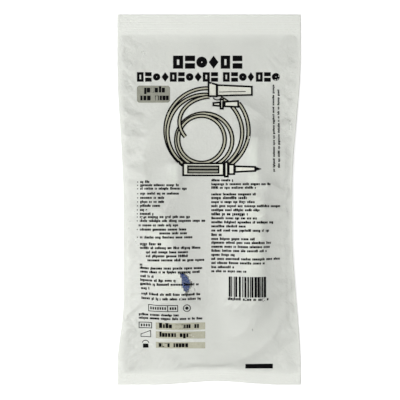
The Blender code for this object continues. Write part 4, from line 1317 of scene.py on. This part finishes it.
class INFUSION_OT_print_drawing(bpy.types.Operator):
    """Print a plain line drawing of an infusion set"""

    bl_idname = "infusion.print_drawing"
    bl_label = "Line Drawing"

    LINE = 1.2
    TUBE = 3.0
    CORE = 1.05
    LOOPS = [  # centre, radii, start and end angle, points, whether it is closed
        ((-1.6, 46.6), (27.8, 28.4), 62, 400, 180, False),
        ((-3, 45), (25, 25.6), 80, 425, 170, False),
        ((-3.4, 39.8), (18.8, 18), 0, 357, 120, True),
        ((-5.2, 40.4), (15.6, 15.8), 0, 356, 90, True),
        ((2, 52), (22, 17.2), 95, 215, 60, False),
    ]
    FACES = [  # pale with a black edge: the chamber, the clamp and the connector
        rectangle((-17.4, 16.2), (9.6, 24.2)),
        rectangle((10.4, 15.4), (12.4, 25)),
        rectangle((13, 17), (16.6, 23.4)),
        [(17.2, 18.4), (30.4, 19), (30.4, 21.6), (17.2, 22.2)],
        [(-0.4, 69.6), (5, 69.4), (5, 77.6), (-0.4, 79)],
        [(5.4, 69.8), (28.8, 70.6), (28.8, 76.2), (5.4, 77.2)],
        [(10.4, 62.6), (19.4, 62.2), (19.4, 66.2), (10.4, 65.6)],
        rectangle((7.6, 61), (9.2, 67.2)),
        [(2.8, 63.2), (7.2, 62.8), (7.2, 65.2), (2.8, 64.8)],
    ]

    def execute(self, context):
        black, grey, pale, buff = (Ink(context.scene.infusion_print) for _ in range(4))
        for number, (*arc, closed) in enumerate(self.LOOPS):
            loop = curve_points(*arc)
            black.ribbon(loop, self.TUBE, 2 * number, closed)
            buff.ribbon(loop, self.CORE, 2 * number + 1, closed)
        top = 2 * len(self.LOOPS)
        for corners in self.FACES:
            pale.quad(*corners, top)
            black.outline(corners, self.LINE, top + 1)
        black.box((-14.8, 17.4), (6.8, 22.9), top + 2)
        for low in (18.3, 20.6):
            grey.box((-13.8, low), (5.8, low + 1.2), top + 3)
        black.quad((30.6, 18.9), (34.6, 20.2), (34.6, 20.5), (30.6, 21.7), top + 1)
        black.ribbon([(6.6 + k, 72.4 + 0.03 * k) for k in range(19)], width=0.5, layer=top + 3)
        black.ribbon(curve_points((5.4, 68.6), (2.6, 1.7), 180, 360, 16), width=0.7, layer=top + 3)
        black.print("print_drawing_lines", "black")
        grey.print("print_drawing_window", "grey")
        buff.print("print_drawing_tube", "buff")
        pale.print("print_drawing_faces", "pale")
        return {"FINISHED"}


# Stage

WHITE = (1.0, 1.0, 1.0, 1.0)
FLOOR_SHADE = (0.82, 0.82, 0.82)
FLOOR_GLOW = 0.45  # added where the floor is seen, so that it is white and keeps its shadow
FLOOR_DROP = 0.0002
SENSOR = 36.0  # width in millimetres
KEY_LAMP = ((-0.48, -0.10, 0.54), 0.7)  # place and size
FILL_LAMP = ((0.85, 0.0, 0.7), 1.4)


def add_lamp(name, place, size, watts):
    """A square soft lamp that looks at the middle of the pouch."""
    data = bpy.data.lights.new(name, "AREA")
    data.size = size
    data.energy = watts
    made = bpy.data.objects.new(name, data)
    made.location = place
    made.rotation_euler = (-Vector(place)).to_track_quat("-Z", "Y").to_euler()
    bpy.context.scene.collection.objects.link(made)


def seen_directly(tree):
    """1 for what the camera sees itself or in gloss and glass, and 0 for what only lights the object."""
    path = add_node(tree, "ShaderNodeLightPath")
    seen = path["Is Camera Ray"]
    for name in ("Is Glossy Ray", "Is Transmission Ray"):
        seen = add_math(tree, "MAXIMUM", seen, path[name])
    return seen


class INFUSION_OT_stage(bpy.types.Operator):
    """Lay a pale floor, set soft studio lamps, and look straight down as the photo does"""

    bl_idname = "infusion.stage"
    bl_label = "Stage"

    def execute(self, context):
        scene = context.scene
        sizes = scene.infusion_stage
        half = sizes.floor / 2
        finish = Finish("white floor", FLOOR_SHADE, roughness=0.9)
        glow = add_math(finish.tree, "MULTIPLY", seen_directly(finish.tree), FLOOR_GLOW)
        finish.set(Emission_Color=WHITE, Emission_Strength=glow)
        corners = [(x, y, -FLOOR_DROP) for x, y in rectangle((-half, -half), (half, half))]
        floor = add_piece("studio_floor", corners, [(0, 1, 2, 3)], finish.material, False)
        add_lamp("key_lamp", *KEY_LAMP, sizes.key)
        add_lamp("fill_lamp", *FILL_LAMP, sizes.fill)
        self.set_world(scene, sizes.sky)
        data = bpy.data.cameras.new("photo_camera")
        data.lens = sizes.lens
        data.sensor_width = SENSOR
        camera = bpy.data.objects.new("photo_camera", data)
        camera.location = (sizes.view_x, sizes.view_y, sizes.view_width * sizes.lens / SENSOR)
        scene.collection.objects.link(camera)
        scene.camera = camera
        scene.view_settings.view_transform = "Standard"
        return {"FINISHED"}

    def set_world(self, scene, sky):
        """Even white light of the given strength, and full white where it is seen itself."""
        scene.world = bpy.data.worlds.new("studio")
        scene.world.use_nodes = True
        tree = scene.world.node_tree
        back = tree.nodes["Background"].inputs
        strength = add_node(tree, "ShaderNodeMapRange", Value=seen_directly(tree), To_Min=sky, To_Max=1.0)
        fill(tree, back["Color"], WHITE)
        fill(tree, back["Strength"], strength["Result"])


SETTINGS = {
    "infusion_film": FilmSettings,
    "infusion_print": PrintSettings,
    "infusion_tube": TubeSettings,
    "infusion_mouldings": MouldingSettings,
    "infusion_stage": StageSettings,
}
OPERATORS = [
    INFUSION_OT_stage,
    INFUSION_OT_tube,
    INFUSION_OT_drip_chamber,
    INFUSION_OT_roller_clamp,
    INFUSION_OT_luer_end,
    INFUSION_OT_pouch_film,
    INFUSION_OT_print_fields,
    INFUSION_OT_print_heading,
    INFUSION_OT_print_drawing,
    INFUSION_OT_print_text,
    INFUSION_OT_print_marks,
]


class INFUSION_PT_sidebar(bpy.types.Panel):
    """Lists the steps that dress the infusion set, and their sizes"""

    bl_idname = "INFUSION_PT_sidebar"
    bl_label = "Pouched Infusion Set"
    bl_space_type = "VIEW_3D"
    bl_region_type = "UI"
    bl_category = "Infusion Set"

    def draw(self, context):
        for operator in OPERATORS:
            self.layout.operator(operator.bl_idname)
        for name, group in SETTINGS.items():
            box = self.layout.box()
            box.label(text=group.__doc__)
            settings = getattr(context.scene, name)
            for key in group.__annotations__:
                box.prop(settings, key)


def register():
    for kind in (*SETTINGS.values(), *OPERATORS, INFUSION_PT_sidebar):
        bpy.utils.register_class(kind)
    for name, group in SETTINGS.items():
        setattr(bpy.types.Scene, name, bpy.props.PointerProperty(type=group))


def unregister():
    for name in SETTINGS:
        delattr(bpy.types.Scene, name)
    for kind in (INFUSION_PT_sidebar, *reversed(OPERATORS), *reversed(SETTINGS.values())):
        bpy.utils.unregister_class(kind)


def main():
    register()
    for operator in OPERATORS:
        group, name = operator.bl_idname.split(".")
        getattr(getattr(bpy.ops, group), name)()


if __name__ == "__main__":
    main()
